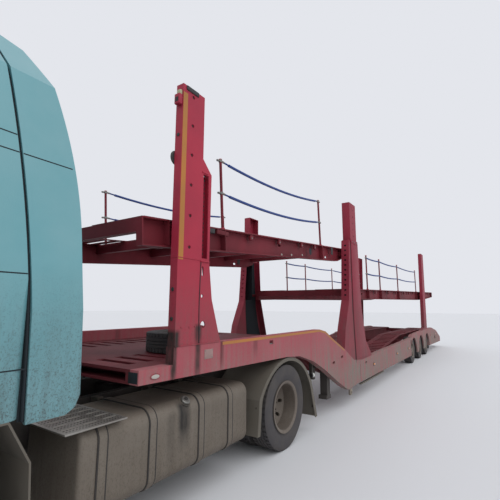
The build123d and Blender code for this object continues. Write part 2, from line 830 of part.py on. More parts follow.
# Seats on their stands, and the bunk across the rear wall
seat_front = cab_front - 680
seat_z = cab_floor + 400
seat_half = 250
bunk_half = half_width - 170
bunk_rear = cab_rear + cab_wall + 45
bunk_top = waist_z
with BuildPart() as cab_seats:
    for y in (-half_width / 2, half_width / 2):
        with BuildSketch(side_plane(y + seat_half)):
            Polygon((seat_front, seat_z + 20), (seat_front, seat_z + 140), (seat_front - 430, seat_z + 120),
                    (seat_front - 520, seat_z + 880), (seat_front - 640, seat_z + 870),
                    (seat_front - 560, seat_z))
        extrude(amount=2 * seat_half)
        box_between((seat_front - 430, seat_front - 130), (y - 170, y + 170),
                    (cab_floor + cab_wall, seat_z + 30))
    box_between((bunk_rear, cab_rear + 640), (-bunk_half, bunk_half), (bunk_top - 140, bunk_top))
    box_between((bunk_rear, cab_rear + 600), (40 - bunk_half, bunk_half - 40),
                (cab_floor + cab_wall, bunk_top - 140))
save(cab_seats, "cab_seats")

# Mirrors: tall heads, each on two slanting arms from the cab's front pillar
mirror_x = door_front
mirror_depth = 110
mirror_near = half_width + 60
mirror_far = half_width + 290
mirror_base = screen_base + 50
mirror_height = 580
arm_width = 32
arm_depth = 36
with BuildPart() as mirrors:
    with BuildSketch(level_plane(mirror_base)):
        with Locations((mirror_x + mirror_depth / 2, (mirror_near + mirror_far) / 2)):
            RectangleRounded(mirror_depth, mirror_far - mirror_near, 30)
    extrude(amount=mirror_height)
    for root_x, z in ((mirror_x + 10, mirror_base + 10), (mirror_x - 150, mirror_base + mirror_height - 70)):
        with BuildSketch(level_plane(z)):
            Polygon((root_x - arm_width / 2, half_width - 120), (root_x + arm_width / 2, half_width - 120),
                    (mirror_x + 71, mirror_near + 15), (mirror_x + 39, mirror_near + 15))
        extrude(amount=arm_depth)
    add(cab_core, mode=Mode.SUBTRACT)
    mirror(about=Plane.XZ)
save(mirrors, "mirrors")

# Side beams of the trailer: the gooseneck's cheek, the drop and the low beam in one plate box
beam_foot = tail + 1150
beam_top = [
    (goose_front, goose_floor), (post_front, goose_floor), (post_front, goose_top),
    (goose_rear + 160, goose_top), (goose_rear - 80, 1350), (goose_rear - 350, 1230),
    (goose_rear - 930, 1000), (goose_rear - 1400, 770), (goose_rear - 1900, 720),
    (goose_rear - 3300, 750), (goose_rear - 5000, 770), (first_axle + 500, 800), (first_axle + 250, 880),
    (first_axle - 1950, 930), (tail + 2450, 930), (beam_foot, 760), (tail, 420),
]
beam_bottom = [
    (tail, 230), (beam_foot, 250), (tail + 2850, 285), (first_axle + 600, 285),
    (goose_rear - 1550, 330), (goose_rear - 1090, 300), (goose_rear - 990, 330), (goose_rear - 570, 510),
    (goose_rear - 40, 770), (goose_rear + 420, 960), (goose_rear + 840, 1070), (0, goose_base),
    (goose_front, goose_nose_base),
]
pocket_rear = trailer_axle_stations[-1] - small_radius - 60
pocket_front = first_axle + small_radius + 60
lashing_slots = ((goose_rear - 780, 890), (goose_rear - 390, 840), (goose_rear - 2140, 640))
lashing_slot = (110, 40)
slot_depth = 40
handle_recess = (90, 45)
with BuildPart() as side_beams:
    with BuildSketch(side_plane(half_width)):
        Polygon(*beam_top, *beam_bottom)
        for x in trailer_axle_stations:
            with Locations((x, arch_top - arch_radius)):
                Circle(arch_radius, mode=Mode.SUBTRACT)
        with Locations((first_axle + 470, 610)):
            Rectangle(150, 250, mode=Mode.SUBTRACT)
        with Locations((tail + 1600, 500)):
            Rectangle(320, 120, mode=Mode.SUBTRACT)
    extrude(amount=beam_width)
    with BuildSketch(side_plane(half_width)):
        with Locations(*lashing_slots):
            SlotOverall(*lashing_slot)
        with Locations((kingpin_lead - 50, goose_top - 80)):
            Rectangle(*handle_recess)
    extrude(amount=slot_depth, mode=Mode.SUBTRACT)
    box_between((pocket_rear, pocket_front), (beam_inner, half_width - skirt_wall),
                (0, wheel_roof), mode=Mode.SUBTRACT)
    box_between((lug_x - 45, lug_x + 45), (half_width - 10 - lug_wall_width, half_width - 10), (195, 330))
    with BuildSketch(side_plane(half_width - 10)):
        with Locations((lug_x, 240)):
            Circle(lug_hole)
    extrude(amount=lug_wall_width, mode=Mode.SUBTRACT)
    mirror(about=Plane.XZ)
save(side_beams, "side_beams")

# Gooseneck deck between the cheeks, with the front channel, the coupling plate and the kingpin
track_middle = (track_inner + track_outer) / 2
goose_member = 80
nose_depth = 200
nose_slot = 65
goose_stations = spread(goose_rear + 100, post_rear, 500)
sheet_joint_x = goose_stations[3] + 20
sheet_joint_gap = 6
with BuildPart() as gooseneck_deck:
    box_between((goose_rear, goose_front), (-beam_inner, beam_inner), (goose_floor - sheet, goose_floor))
    with BuildSketch(level_plane(goose_floor)):
        for x in spread(goose_rear + slot_pitch, goose_front - slot_pitch, slot_pitch):
            with Locations((x, track_middle), (x, -track_middle)):
                Rectangle(slot_width, slot_length)
    extrude(amount=-sheet, mode=Mode.SUBTRACT)
    for x in goose_stations:
        box_between((x, x + goose_member), (-beam_inner, beam_inner),
                    (goose_base + sheet, goose_floor - sheet))
    for y in (-460, 380):
        box_between((goose_rear, goose_front - nose_depth), (y, y + goose_member),
                    (goose_base + sheet, goose_floor - sheet))
    box_between((goose_front - nose_depth, goose_front), (-beam_inner, beam_inner),
                (goose_nose_base, goose_floor - sheet))
    box_between((goose_front - nose_depth + sheet, goose_front), (50 - beam_inner, beam_inner - 50),
                (goose_nose_base + 20, goose_nose_base + 20 + nose_slot), mode=Mode.SUBTRACT)
    box_between((sheet_joint_x, sheet_joint_x + sheet_joint_gap), (-beam_inner, beam_inner),
                (goose_floor - sheet, goose_floor), mode=Mode.SUBTRACT)
    box_between((-300, 1200), (-560, 560), (goose_base, goose_base + sheet))
    with Locations((drive_x + kingpin_lead, 0, goose_base - 35)):
        Cylinder(pin_radius, 70)
save(gooseneck_deck, "gooseneck_deck")

# Spare tyre lying on the gooseneck deck
spare_x = kingpin_lead + 750
spare_y = 580
spare_width = 210
spare_plane = Plane(origin=(drive_x + spare_x, spare_y, goose_floor + spare_width / 2),
                    x_dir=(0, 0, 1), z_dir=(0, 1, 0))
with BuildPart() as spare_tyre:
    with BuildSketch(spare_plane):
        Polygon(*tyre_section(small_radius - 10, spare_width, small_bead))
    revolve(axis=Axis(spare_plane.origin, (0, 0, 1)))
save(spare_tyre, "spare_tyre")

# Low deck: slotted wheel tracks down the drop, through the well and over the axles, on rails
track_line = [
    (goose_rear, goose_floor), (goose_rear - 60, goose_floor), (goose_rear - 1500, 620),
    (goose_rear - 2100, 540), (goose_rear - 3100, 540), (first_axle + 850, 905), (tail + 2550, 905),
    (tail + 70, 440),
]
rail_line = [
    (tail + 70, 280), (tail + 2550, 560), (first_axle + 850, 560), (goose_rear - 3100, 370),
    (goose_rear - 1700, 400), (goose_rear - 1100, 600), (goose_rear - 40, 1110),
]
rail_inner_y = 470
rail_width = 80
low_member = 100
low_member_depth = 120
member_stations = [goose_rear - 200, goose_rear - 1060, goose_rear - 1700, goose_rear - 2800,
                   goose_rear - 4000, goose_rear - 5200, first_axle + 1050,
                   tail + 2500, tail + 1350, tail + 250]
bumper_bar = 60
with BuildPart() as low_deck:
    with BuildSketch(side_plane(track_outer)):
        with BuildLine():
            Polyline(*track_line)
            offset(amount=sheet, side=Side.LEFT)
        make_face()
    extrude(amount=track_outer - track_inner)
    with BuildSketch(level_plane(0)):
        for x in spread(tail + 2 * slot_pitch, goose_rear - slot_pitch, slot_pitch):
            with Locations((x, track_middle)):
                Rectangle(slot_width, slot_length)
    extrude(amount=goose_top, mode=Mode.SUBTRACT)
    with BuildSketch(side_plane(rail_inner_y + rail_width)):
        Polygon((goose_rear - 40, goose_floor), *track_line[1:], *rail_line)
    extrude(amount=rail_width)
    mirror(about=Plane.XZ)
    for x in member_stations:
        top = min(height_on(line, x + reach) for line in (track_line, beam_top)
                  for reach in (-low_member / 2, low_member / 2)) - 2 * sheet
        box_between((x - low_member / 2, x + low_member / 2), (-beam_inner, beam_inner),
                    (top - low_member_depth, top))
    box_between((tail + 30, tail + 30 + bumper_bar), (-beam_inner, beam_inner), (240, 400))
    for y in (-rail_inner_y - rail_width, rail_inner_y):
        box_between((tail + 30 + bumper_bar, tail + 250), (y, y + rail_width), (300, 380))
save(low_deck, "low_deck")

# Trailer axles under the low deck's rails
with BuildPart() as trailer_axles:
    for x in trailer_axle_stations:
        with BuildSketch(wheel_plane(x, 0, small_radius)):
            with Locations((0, trailer_spindle / 2)):
                Rectangle(2 * (small_mid_y + small_disc_shift + hub_reach), trailer_spindle)
            with Locations((0, trailer_tube / 2)):
                Rectangle(2 * (small_mid_y - small_width / 2 - 52), trailer_tube)
        revolve(axis=spindle_axis(x, small_radius))
        for y in (-rail_inner_y - rail_width, rail_inner_y):
            box_between((x - 60, x + 60), (y, y + rail_width), (small_radius, 560))
save(trailer_axles, "trailer_axles")

# Landing legs, drawn up, on brackets from the cheeks
leg_x = goose_rear - 410
leg_half = 60
leg_y = beam_inner - 70
leg_top = 1080
leg_bottom = 330
with BuildPart() as landing_legs:
    box_between((leg_x - leg_half, leg_x + leg_half), (leg_y - leg_half, leg_y + leg_half),
                (leg_bottom, leg_top))
    box_between((leg_x - 90, leg_x + 90), (leg_y - 80, leg_y + leg_half), (leg_bottom - 60, leg_bottom))
    box_between((leg_x - leg_half, leg_x + leg_half), (leg_y + leg_half, beam_inner), (760, leg_top))
    mirror(about=Plane.XZ)
save(landing_legs, "landing_legs")

# Front posts: channels open inward, pierced for pins, with a slotted guide in the part behind
guide_front = post_rear - 10
guide_rear = post_rear - 90
guide_low = 2170
guide_high = 2990
strip_pitch = 80
strip_hole = 40
pin_hole = 16
pin_holes = spread(2250, 3700, 290)
gusset_holes = ((post_rear - 50, 1560, 32), (post_rear - 30, 1820, 16))
front_outline = (
    (post_front, goose_top), (post_front, post_top), (post_rear, post_top), (post_rear, 3140),
    (post_rear - 130, 3010), (post_rear - 120, 2150), (post_rear - 170, 1790), (post_rear - 310, goose_top),
)
with BuildPart() as front_posts:
    with BuildSketch(side_plane(half_width)):
        Polygon(*front_outline)
    extrude(amount=front_post_depth)
    with BuildSketch(side_plane(half_width - post_wall)):
        Polygon(*front_outline)
        offset(amount=-post_wall, kind=Kind.INTERSECTION)
    extrude(amount=front_post_depth, mode=Mode.SUBTRACT)
    box_between((post_rear, post_rear + post_wall), (half_width - front_post_depth, half_width),
                (goose_top, 3140))
    with BuildSketch(side_plane(half_width)):
        with Locations(*[(front_pivot_x + 10, z) for z in pin_holes]):
            Circle(pin_hole)
        for x, z, hole in gusset_holes:
            with Locations((x, z)):
                Circle(hole)
        with Locations(((guide_front + guide_rear) / 2, (guide_low + guide_high) / 2)):
            Rectangle(guide_front - guide_rear, guide_high - guide_low)
        with Locations((post_rear - 30, 2050)):
            SlotOverall(90, 24, rotation=90)
    extrude(amount=post_wall, mode=Mode.SUBTRACT)
    with BuildSketch(side_plane(half_width - front_post_depth + post_wall)):
        with Locations((post_rear - 58, (guide_low + guide_high) / 2)):
            Rectangle(116, guide_high - guide_low + 20)
            with GridLocations(0, strip_pitch, 1, 10):
                Rectangle(strip_hole, strip_hole, mode=Mode.SUBTRACT)
    extrude(amount=post_wall)
    mirror(about=Plane.XZ)
save(front_posts, "front_posts")

# Middle posts: wide channels flared at the foot, with narrower channels standing on them
sleeve_z = 3000
flange_slot = (40, 30)
flange_pitch = 100
middle_front = front_deck_rear - 10
middle_rear = middle_front - 360
foot_x = goose_rear - 2570
foot_z = height_on(beam_top, foot_x)
middle_outline = (
    (middle_front + 100, sleeve_z), (middle_rear - 40, sleeve_z), (middle_rear - 120, 1870),
    (middle_rear - 370, 1070), (foot_x, foot_z), *reversed(beam_top[6:9]),
    (middle_front + 460, 1330), (middle_front + 210, 1850),
)
with BuildPart() as middle_posts:
    with BuildSketch(side_plane(half_width)):
        Polygon(*middle_outline)
    extrude(amount=middle_post_depth)
    with BuildSketch(side_plane(half_width - post_wall)):
        Polygon(*middle_outline)
        offset(amount=-post_wall, kind=Kind.INTERSECTION)
    extrude(amount=middle_post_depth, mode=Mode.SUBTRACT)
    box_between((middle_rear, middle_front), (half_width - middle_post_depth, half_width),
                (sleeve_z - post_wall, post_top))
    box_between((middle_rear + post_wall, middle_front - post_wall),
                (half_width - middle_post_depth, half_width - post_wall),
                (sleeve_z - 2 * post_wall, post_top - post_wall), mode=Mode.SUBTRACT)
    with BuildSketch(cross_plane(middle_front - post_wall)):
        for z in spread(1950, 2900, flange_pitch) + spread(sleeve_z + 60, post_top - 80, flange_pitch):
            with Locations((half_width - middle_post_depth / 2, z)):
                Rectangle(*flange_slot)
    extrude(amount=300, mode=Mode.SUBTRACT)
    mirror(about=Plane.XZ)
save(middle_posts, "middle_posts")

# Rear posts: leaning channels open inward, with guide walls beside the upright slide path
rear_slide = (rear_pivot_x - 110, rear_pivot_x + 110)
rear_outline = (
    (rear_pivot_x + 980, 930), (rear_pivot_x + 450, 1010), (rear_pivot_x + 130, post_top),
    (rear_pivot_x - 310, post_top), (rear_pivot_x - 130, 930),
)
with BuildPart() as rear_posts:
    with BuildSketch(side_plane(half_width)):
        Polygon(*rear_outline)
    extrude(amount=rear_post_depth)
    with BuildSketch(side_plane(half_width - post_wall)):
        Polygon(*rear_outline)
        offset(amount=-post_wall, kind=Kind.INTERSECTION)
    extrude(amount=rear_post_depth, mode=Mode.SUBTRACT)
    for x in (rear_slide[0] - post_wall, rear_slide[1]):
        box_between((x, x + post_wall), (half_width - rear_post_depth, half_width), (930, post_top))
    mirror(about=Plane.XZ)
save(rear_posts, "rear_posts")

# Trailer lamps on the tail's cross member
with BuildPart() as trailer_lamps:
    box_between((tail, tail + 30), (beam_inner - 390, beam_inner - 20), (260, 380))
    mirror(about=Plane.XZ)
save(trailer_lamps, "trailer_lamps")


# Shoes that slide in the posts, with the pins that the decks turn on
def make_shoes(name, x, z, slide, depth):
    """Pair of shoes filling the slide path given, from the post's web to its open side."""
    with BuildPart() as shoes:
        box_between((slide[0] + slide_gap, slide[1] - slide_gap),
                    (half_width - depth, half_width - post_wall - slide_gap), (z - 160, z + 160))
        with BuildSketch(face_plane(x, half_width - depth, z, -1)):
            Circle(pivot_pin)
        extrude(amount=half_width - depth - deck_half + member_width)
        mirror(about=Plane.XZ)
    save(shoes, name)


make_shoes("front_shoes", front_pivot_x, front_pivot_z,
           (post_rear + post_wall, post_front - post_wall), front_post_depth)
make_shoes("rear_shoes", rear_pivot_x, rear_pivot_z, rear_slide, rear_post_depth)


# Upper decks: slotted tracks between side channels, with cross beams, guide rollers and stanchions
def make_deck(name, x, z, rise, outline, beams, roller, block, stanchions, holes):
    """Deck on its pivot at x, z; lengths in the outline run along the deck from the pivot."""
    side = deck_side_plane(x, z, rise, deck_half)
    track_top = outline[0][1]
    front = outline[0][0]
    rear = outline[1][0]
    roller_start = deck_half - half_width + post_wall + 20
    inner_edge = deck_half - member_width
    with BuildPart() as deck:
        with BuildSketch(Plane(origin=side.from_local_coords((0, track_top, deck_half)),
                               x_dir=side.x_dir, z_dir=side.y_dir)):
            with Locations(((front + rear) / 2, (inner_edge + track_inner - 20) / 2)):
                Rectangle(front - rear, inner_edge - track_inner + 20)
            for along in spread(rear + slot_pitch, front - slot_pitch, slot_pitch):
                with Locations((along, (inner_edge + track_inner - 20) / 2)):
                    Rectangle(slot_width, slot_length, mode=Mode.SUBTRACT)
        extrude(amount=-deck_sheet)
        with BuildSketch(side):
            Polygon(*outline)
        extrude(amount=member_width)
        with BuildSketch(side):
            Polygon(*outline)
            offset(amount=-member_flange, kind=Kind.INTERSECTION)
        extrude(amount=member_width - member_web, mode=Mode.SUBTRACT)
        with BuildSketch(side):
            for along in (*stanchions, 1.5 * pivot_boss, -1.5 * pivot_boss):
                with Locations((along, 0)):
                    Rectangle(member_flange, 2 * track_top)
            Polygon(*outline, mode=Mode.INTERSECT)
            Circle(pivot_boss)
            with Locations(((block[0] + block[1]) / 2, roller[1])):
                Rectangle(block[1] - block[0], guide_block_depth)
        extrude(amount=member_width)
        with BuildSketch(side):
            Circle(pivot_pin + slide_gap)
            with Locations(*holes):
                SlotOverall(80, 40)
        extrude(amount=member_width, mode=Mode.SUBTRACT)
        with BuildSketch(side.offset(roller_start)):
            with Locations(roller):
                Circle(guide_radius)
        extrude(amount=half_width - deck_half - post_wall - 10)
        for along in stanchions:
            with BuildSketch(Plane(origin=side.from_local_coords((along, track_top, member_width / 2)),
                                   x_dir=side.x_dir, z_dir=side.y_dir)):
                Circle(stanchion_radius)
            extrude(amount=stanchion_height)
        mirror(about=Plane.XZ)
        for along in beams:
            with BuildSketch(side.offset(member_width)):
                with Locations((along, track_top - 60 - deck_sheet)):
                    Rectangle(90, 120)
            extrude(amount=2 * inner_edge)
    save(deck, name)


front_half = front_deck_depth / 2
front_slope = cos(radians(front_deck_rise))
front_length = (front_deck_front - front_pivot_x) / front_slope
front_tail = (front_deck_rear - front_pivot_x) / front_slope
front_roller = (front_guide_x - front_pivot_x) / front_slope
front_stanchions = (-740, front_tail + 1000)
make_deck(
    "front_deck", front_pivot_x, front_pivot_z, front_deck_rise,
    ((front_length, front_half), (front_tail, front_half), (front_tail, 60 - front_half),
     (front_tail + 300, -front_half), (front_length, -front_half)),
    spread(front_length - 45, front_tail + 45, 1000),
    (front_roller, 20), (front_roller - 35, front_tail + 60), front_stanchions,
    ((front_tail + 720, -60), (-2080, 40)))
rear_half = rear_deck_depth / 2
rear_slope = cos(radians(rear_deck_rise))
rear_length = (rear_deck_front - rear_pivot_x) / rear_slope
rear_tail = (rear_deck_rear - rear_pivot_x) / rear_slope
rear_roller = (rear_guide_x - rear_pivot_x) / rear_slope
rear_stanchions = (rear_length - 1480, rear_length - 2630, rear_length - 4730, 500)
make_deck(
    "rear_deck", rear_pivot_x, rear_pivot_z, rear_deck_rise,
    ((rear_length, rear_half), (rear_tail, rear_half), (rear_tail, rear_half - rear_deck_thin),
     (-900, -rear_half), (600, -rear_half), (rear_length - 800, rear_half - rear_deck_thin),
     (rear_length, rear_half - rear_deck_thin)),
    spread(rear_length - 45, rear_tail + 45, 1300),
    (rear_roller, rear_half - 110), (rear_length - 240, rear_length), rear_stanchions,
    ((rear_length - 1100, rear_half - 100), (rear_tail + 700, rear_half - 120)))


# Guard ropes of the decks, hanging a little between their stanchions
def make_ropes(name, x, z, rise, track_top, spans):
    """Ropes at y of the stanchions; each span gives its ends along the deck, height and sag."""
    side = deck_side_plane(x, z, rise, deck_half - member_width / 2)
    with BuildPart() as ropes:
        for start, end, height, sag in spans:
            first = (start - stanchion_radius - rope_end_gap, track_top + height)
            last = (end + stanchion_radius + rope_end_gap, track_top + height)
            middle = ((start + end) / 2, track_top + height - sag)
            with BuildLine(side):
                path = ThreePointArc(first, middle, last)
            with BuildSketch(Plane(origin=path @ 0, z_dir=path % 0)):
                Circle(rope_radius)
            sweep(path=path.edge())
        mirror(about=Plane.XZ)
    save(ropes, name)


make_ropes("front_ropes", front_pivot_x, front_pivot_z, front_deck_rise, front_half,
           [(*front_stanchions, 780, 75), (*front_stanchions, 410, 70)])
rear_spans = list(zip(rear_stanchions, rear_stanchions[1:]))
make_ropes("rear_ropes", rear_pivot_x, rear_pivot_z, rear_deck_rise, rear_half,
           [(start, end, height, sag) for height in (740, 370)
            for (start, end), sag in zip(rear_spans, (15, 25, 30))])
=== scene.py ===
"""Car transporter truck: tractor with sleeper cab and a two-deck semi-trailer.

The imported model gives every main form. This script finishes its surfaces and adds the pieces that
are too fine for it: tyre treads, wheel nuts, cab seams and handles, tank straps, bolts, stripes,
lamps, rope sleeves and step treads. Lengths are metres, X runs forward, Y to the left and Z up.
"""
import math

import bpy
from mathutils import Matrix, Vector


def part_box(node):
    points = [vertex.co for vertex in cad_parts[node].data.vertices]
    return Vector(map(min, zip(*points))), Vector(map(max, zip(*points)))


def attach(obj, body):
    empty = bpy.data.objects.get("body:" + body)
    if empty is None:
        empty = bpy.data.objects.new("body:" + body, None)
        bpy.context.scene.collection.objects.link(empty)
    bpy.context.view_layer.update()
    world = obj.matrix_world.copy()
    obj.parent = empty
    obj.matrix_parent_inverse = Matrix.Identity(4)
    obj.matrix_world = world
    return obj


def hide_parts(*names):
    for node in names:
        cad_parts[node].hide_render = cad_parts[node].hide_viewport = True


bl_info = {
    "name": "Car transporter truck",
    "version": (1, 0, 0),
    "blender": (4, 5, 0),
    "location": "3D View > Sidebar > Transporter",
    "description": "Finishes and fine pieces of an articulated car transporter",
    "category": "Object",
}

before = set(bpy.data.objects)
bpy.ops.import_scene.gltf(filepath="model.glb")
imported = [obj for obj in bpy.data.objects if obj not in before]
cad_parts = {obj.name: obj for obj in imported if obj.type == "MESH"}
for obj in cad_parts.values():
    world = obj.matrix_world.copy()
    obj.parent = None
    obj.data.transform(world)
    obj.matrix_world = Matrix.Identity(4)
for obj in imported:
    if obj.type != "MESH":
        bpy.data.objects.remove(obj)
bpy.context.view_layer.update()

# Row X of the drive axle; every station along the truck counts from it
DRIVE_X = 4.875
# Half of the legal body width, where the truck's flat sides are
HALF_WIDTH = 1.25
SIDES = (("left", 1), ("right", -1))
TRAILER_AXLES = ((1, -3.675), (2, -5.008), (3, -6.341))


def colour(name, label, hex_value):
    """Colour property whose default is the sRGB hex value given."""
    return bpy.props.FloatVectorProperty(
        name=name, description=label, subtype="COLOR", size=4, min=0, max=1, default=linear(hex_value)
    )


def length(name, label, metres):
    """Length property in metres."""
    return bpy.props.FloatProperty(name=name, description=label, unit="LENGTH", default=metres, min=0)


def linear(hex_value):
    """Linear RGBA of an sRGB hex value."""
    parts = [int(hex_value[i:i + 2], 16) / 255 for i in (1, 3, 5)]
    return tuple(c / 12.92 if c <= 0.04045 else ((c + 0.055) / 1.055) ** 2.4 for c in parts) + (1.0,)


class TransporterColours(bpy.types.PropertyGroup):
    """Paints and coverings of the truck."""
    cab: colour("Cab", "Pale teal cab enamel", "#6F9FA6")
    post: colour("Posts", "Red enamel of the posts", "#A82E42")
    beam: colour("Beams", "Red enamel of the side beams", "#9E4651")
    # The decks' red is drawn darker than the other reds: painted shade of the decks
    deck: colour("Decks", "Dark red enamel of the decks", "#7C2531")
    stripe: colour("Stripe", "Amber marking stripe", "#B0702A")
    dirt: colour("Road film", "Dried road dirt", "#77706A")
    rope: colour("Rope", "Blue plastic-sheathed rope", "#284A94")
    floor: colour("Floor", "Studio floor", "#D9DADD")


class TransporterSizes(bpy.types.PropertyGroup):
    """Sizes of the fine pieces."""
    groove: length("Tread groove", "Depth of a tread groove", 0.012)
    nut: length("Wheel nut", "Width of a wheel nut across its flats", 0.033)


# Surfaces


def add_node(tree, kind, settings=None, links=None):
    """Adds a shader node, sets its properties and sockets, and links sockets to other nodes' outputs."""
    made = tree.nodes.new(kind)
    for key, value in (settings or {}).items():
        if isinstance(key, str) and hasattr(made, key):
            setattr(made, key, value)
        else:
            made.inputs[key].default_value = value
    for key, source in (links or {}).items():
        tree.links.new(source, made.inputs[key])
    return made


def start_material(name):
    """New material with its principled shader, and the tree that holds it."""
    material = bpy.data.materials.new(name)
    material.use_nodes = True
    tree = material.node_tree
    return material, tree, tree.nodes["Principled BSDF"]


def place_shaded(tree):
    """Place of the point shaded, in the frame's axes."""
    return add_node(tree, "ShaderNodeTexCoord").outputs["Object"]


def height_and_station(tree):
    """Height above the ground and row X of the point shaded."""
    axes = add_node(tree, "ShaderNodeSeparateXYZ", {}, {"Vector": place_shaded(tree)}).outputs
    return axes["Z"], axes["X"]


def noise(tree, scale, stretch=(1, 1, 1), detail=4, seed=0.0):
    """Noise pattern on the frame's axes, stretched along them; a scale of 10 gives spots 0.1 m across."""
    shift = (seed, seed * 1.7, seed * 2.3)
    turned = add_node(tree, "ShaderNodeMapping", {"Scale": stretch, "Location": shift},
                      {"Vector": place_shaded(tree)})
    return add_node(tree, "ShaderNodeTexNoise", {"Scale": scale, "Detail": detail, "Roughness": 0.6},
                    {"Vector": turned.outputs["Vector"]}).outputs["Fac"]


def levels(tree, value, low, high, out_low=0.0, out_high=1.0):
    """Stretches a value between two levels."""
    return add_node(tree, "ShaderNodeMapRange", {1: low, 2: high, 3: out_low, 4: out_high},
                    {0: value}).outputs[0]


def maths(tree, operation, first, second):
    """Sum, product or other two-way calculation of values or sockets."""
    made = add_node(tree, "ShaderNodeMath", {"operation": operation, "use_clamp": True})
    for socket, value in ((0, first), (1, second)):
        if isinstance(value, (int, float)):
            made.inputs[socket].default_value = value
        else:
            tree.links.new(value, made.inputs[socket])
    return made.outputs[0]


def times(tree, first, second):
    """Product of two values or sockets."""
    return maths(tree, "MULTIPLY", first, second)


def blended(tree, share, first, second):
    """Colour between two others, each a colour or a socket."""
    made = add_node(tree, "ShaderNodeMix", {"data_type": "RGBA"}, {"Factor": share})
    for socket, value in ((6, first), (7, second)):
        if isinstance(value, tuple):
            made.inputs[socket].default_value = value
        else:
            tree.links.new(value, made.inputs[socket])
    return made.outputs[2]


def bumped(tree, value, depth, shader):
    """Bump of the depth given, in metres."""
    bump = add_node(tree, "ShaderNodeBump", {"Strength": 1.0, "Distance": depth}, {"Height": value})
    tree.links.new(bump.outputs["Normal"], shader.inputs["Normal"])


def dressed(shader, settings):
    """Sets the shader's sockets."""
    for key, value in settings.items():
        shader.inputs[key].default_value = value


def darker(tint, share):
    """Colour with its light cut to a share."""
    return tuple(c * share for c in tint[:3]) + (1.0,)


def grimed(tree, clean, runs):
    """Colour with runs of grease or grime over it, ragged at about 70 mm.

    Each run has its station, half its width, its foot, its top and its strength.
    """
    up, along = height_and_station(tree)
    ragged = noise(tree, 14, (1, 1, 0.3), seed=11.0)
    for station, half, foot, top, share in runs:
        offset = add_node(tree, "ShaderNodeMath", {"operation": "SUBTRACT", 1: station + DRIVE_X}, {0: along})
        across = levels(tree, maths(tree, "ABSOLUTE", offset.outputs[0], 0.0), half, half * 0.4)
        rising = levels(tree, up, foot, foot + (top - foot) * 0.5)
        ending = levels(tree, up, top + 0.02, top - 0.02)
        patchy = levels(tree, ragged, 0.3, 0.6, share * 0.6, share)
        spill = times(tree, times(tree, across, times(tree, rising, ending)), patchy)
        clean = blended(tree, spill, clean, linear("#2C2926"))
    return clean


def weathered(name, base, dirt, fade, clean_above, dirty_below, fade_share=0.4, film=0.8, streaks=0.5,
              metallic=0.0, gloss=0.4, coat=0.0, shine=0.5, speckle=0.3, runs=()):
    """Painted or bare metal with faded patches, wash streaks and road film that thickens downwards.

    Broad fading is about 0.7 m across, streaks are 45 mm apart and run down, and spatter is 9 mm. The
    specks of tar and soot are drawn 9 mm across, twice their real size, so that they show.
    """
    material, tree, shader = start_material(name)
    broad = noise(tree, 1.4, seed=1.0)
    streak = noise(tree, 1.0, (22, 22, 1.2), 3, seed=4.0)
    spatter = noise(tree, 110, (1, 1, 0.5), 3, seed=7.0)
    soot = noise(tree, 110, detail=2, seed=9.0)
    faded = blended(tree, levels(tree, broad, 0.35, 0.75, 0, fade_share * 2), base, fade)
    low = levels(tree, height_and_station(tree)[0], clean_above, dirty_below)
    washed = levels(tree, streak, 0.35, 0.7, 1 - streaks, 1)
    patch = levels(tree, broad, 0.3, 0.65, 0.55, 1)
    cover = times(tree, times(tree, low, washed), patch)
    spots = times(tree, levels(tree, spatter, 0.52, 0.66), low)
    cover = maths(tree, "ADD", times(tree, cover, film), times(tree, spots, film * 0.5))
    filmed = blended(tree, cover, faded, dirt)
    specks = times(tree, levels(tree, soot, 0.54, 0.68), levels(tree, low, 0.0, 0.9, 0.0, speckle))
    marked = blended(tree, specks, filmed, linear("#35322F"))
    if runs:
        marked = grimed(tree, marked, runs)
    tree.links.new(marked, shader.inputs["Base Color"])
    tree.links.new(levels(tree, cover, 0, 1, gloss, 0.85), shader.inputs["Roughness"])
    dressed(shader, {"Metallic": metallic, "Specular IOR Level": shine, "Coat Weight": coat,
                     "Coat Roughness": 0.25})
    bumped(tree, spatter, 0.0004, shader)
    return material


def plain(name, base, rough, dirt=None, share=0.5, metallic=0.0, scale=260, depth=0.0003, vary=0.25):
    """Moulded, cast or coated surface with fine grain, 4 mm unless its scale is given, and some dust."""
    material, tree, shader = start_material(name)
    grain = noise(tree, scale, seed=2.0)
    broad = noise(tree, 5, seed=3.0)
    toned = blended(tree, levels(tree, broad, 0.3, 0.7), base, darker(base, 1 - vary))
    if dirt:
        toned = blended(tree, levels(tree, broad, 0.35, 0.75, share * 0.4, share), toned, dirt)
    tree.links.new(toned, shader.inputs["Base Color"])
    tree.links.new(levels(tree, grain, 0.2, 0.8, rough - 0.08, rough + 0.08), shader.inputs["Roughness"])
    dressed(shader, {"Metallic": metallic, "IOR": 1.5})
    bumped(tree, grain, depth, shader)
    return material


def glass(name, tint):
    """Tinted safety glass with a thin dust film, thin enough to be shown as a coated clear sheet."""
    material, tree, shader = start_material(name)
    dust = levels(tree, noise(tree, 3, seed=5.0), 0.3, 0.8, 0.02, 0.14)
    tree.links.new(blended(tree, dust, tint, linear("#8A8780")), shader.inputs["Base Color"])
    tree.links.new(levels(tree, dust, 0.0, 0.2, 0.03, 0.3), shader.inputs["Roughness"])
    dressed(shader, {"Transmission Weight": 0.55, "IOR": 1.52})
    return material


def lens(name, tint):
    """Moulded polycarbonate lamp lens with fine vertical ribs across it."""
    material, tree, shader = start_material(name)
    ribs = add_node(tree, "ShaderNodeTexWave", {"bands_direction": "Y", "Scale": 26.0},
                    {"Vector": place_shaded(tree)})
    dressed(shader, {"Base Color": tint, "Roughness": 0.15, "Coat Weight": 0.6, "IOR": 1.58})
    bumped(tree, ribs.outputs["Fac"], 0.0006, shader)
    return material


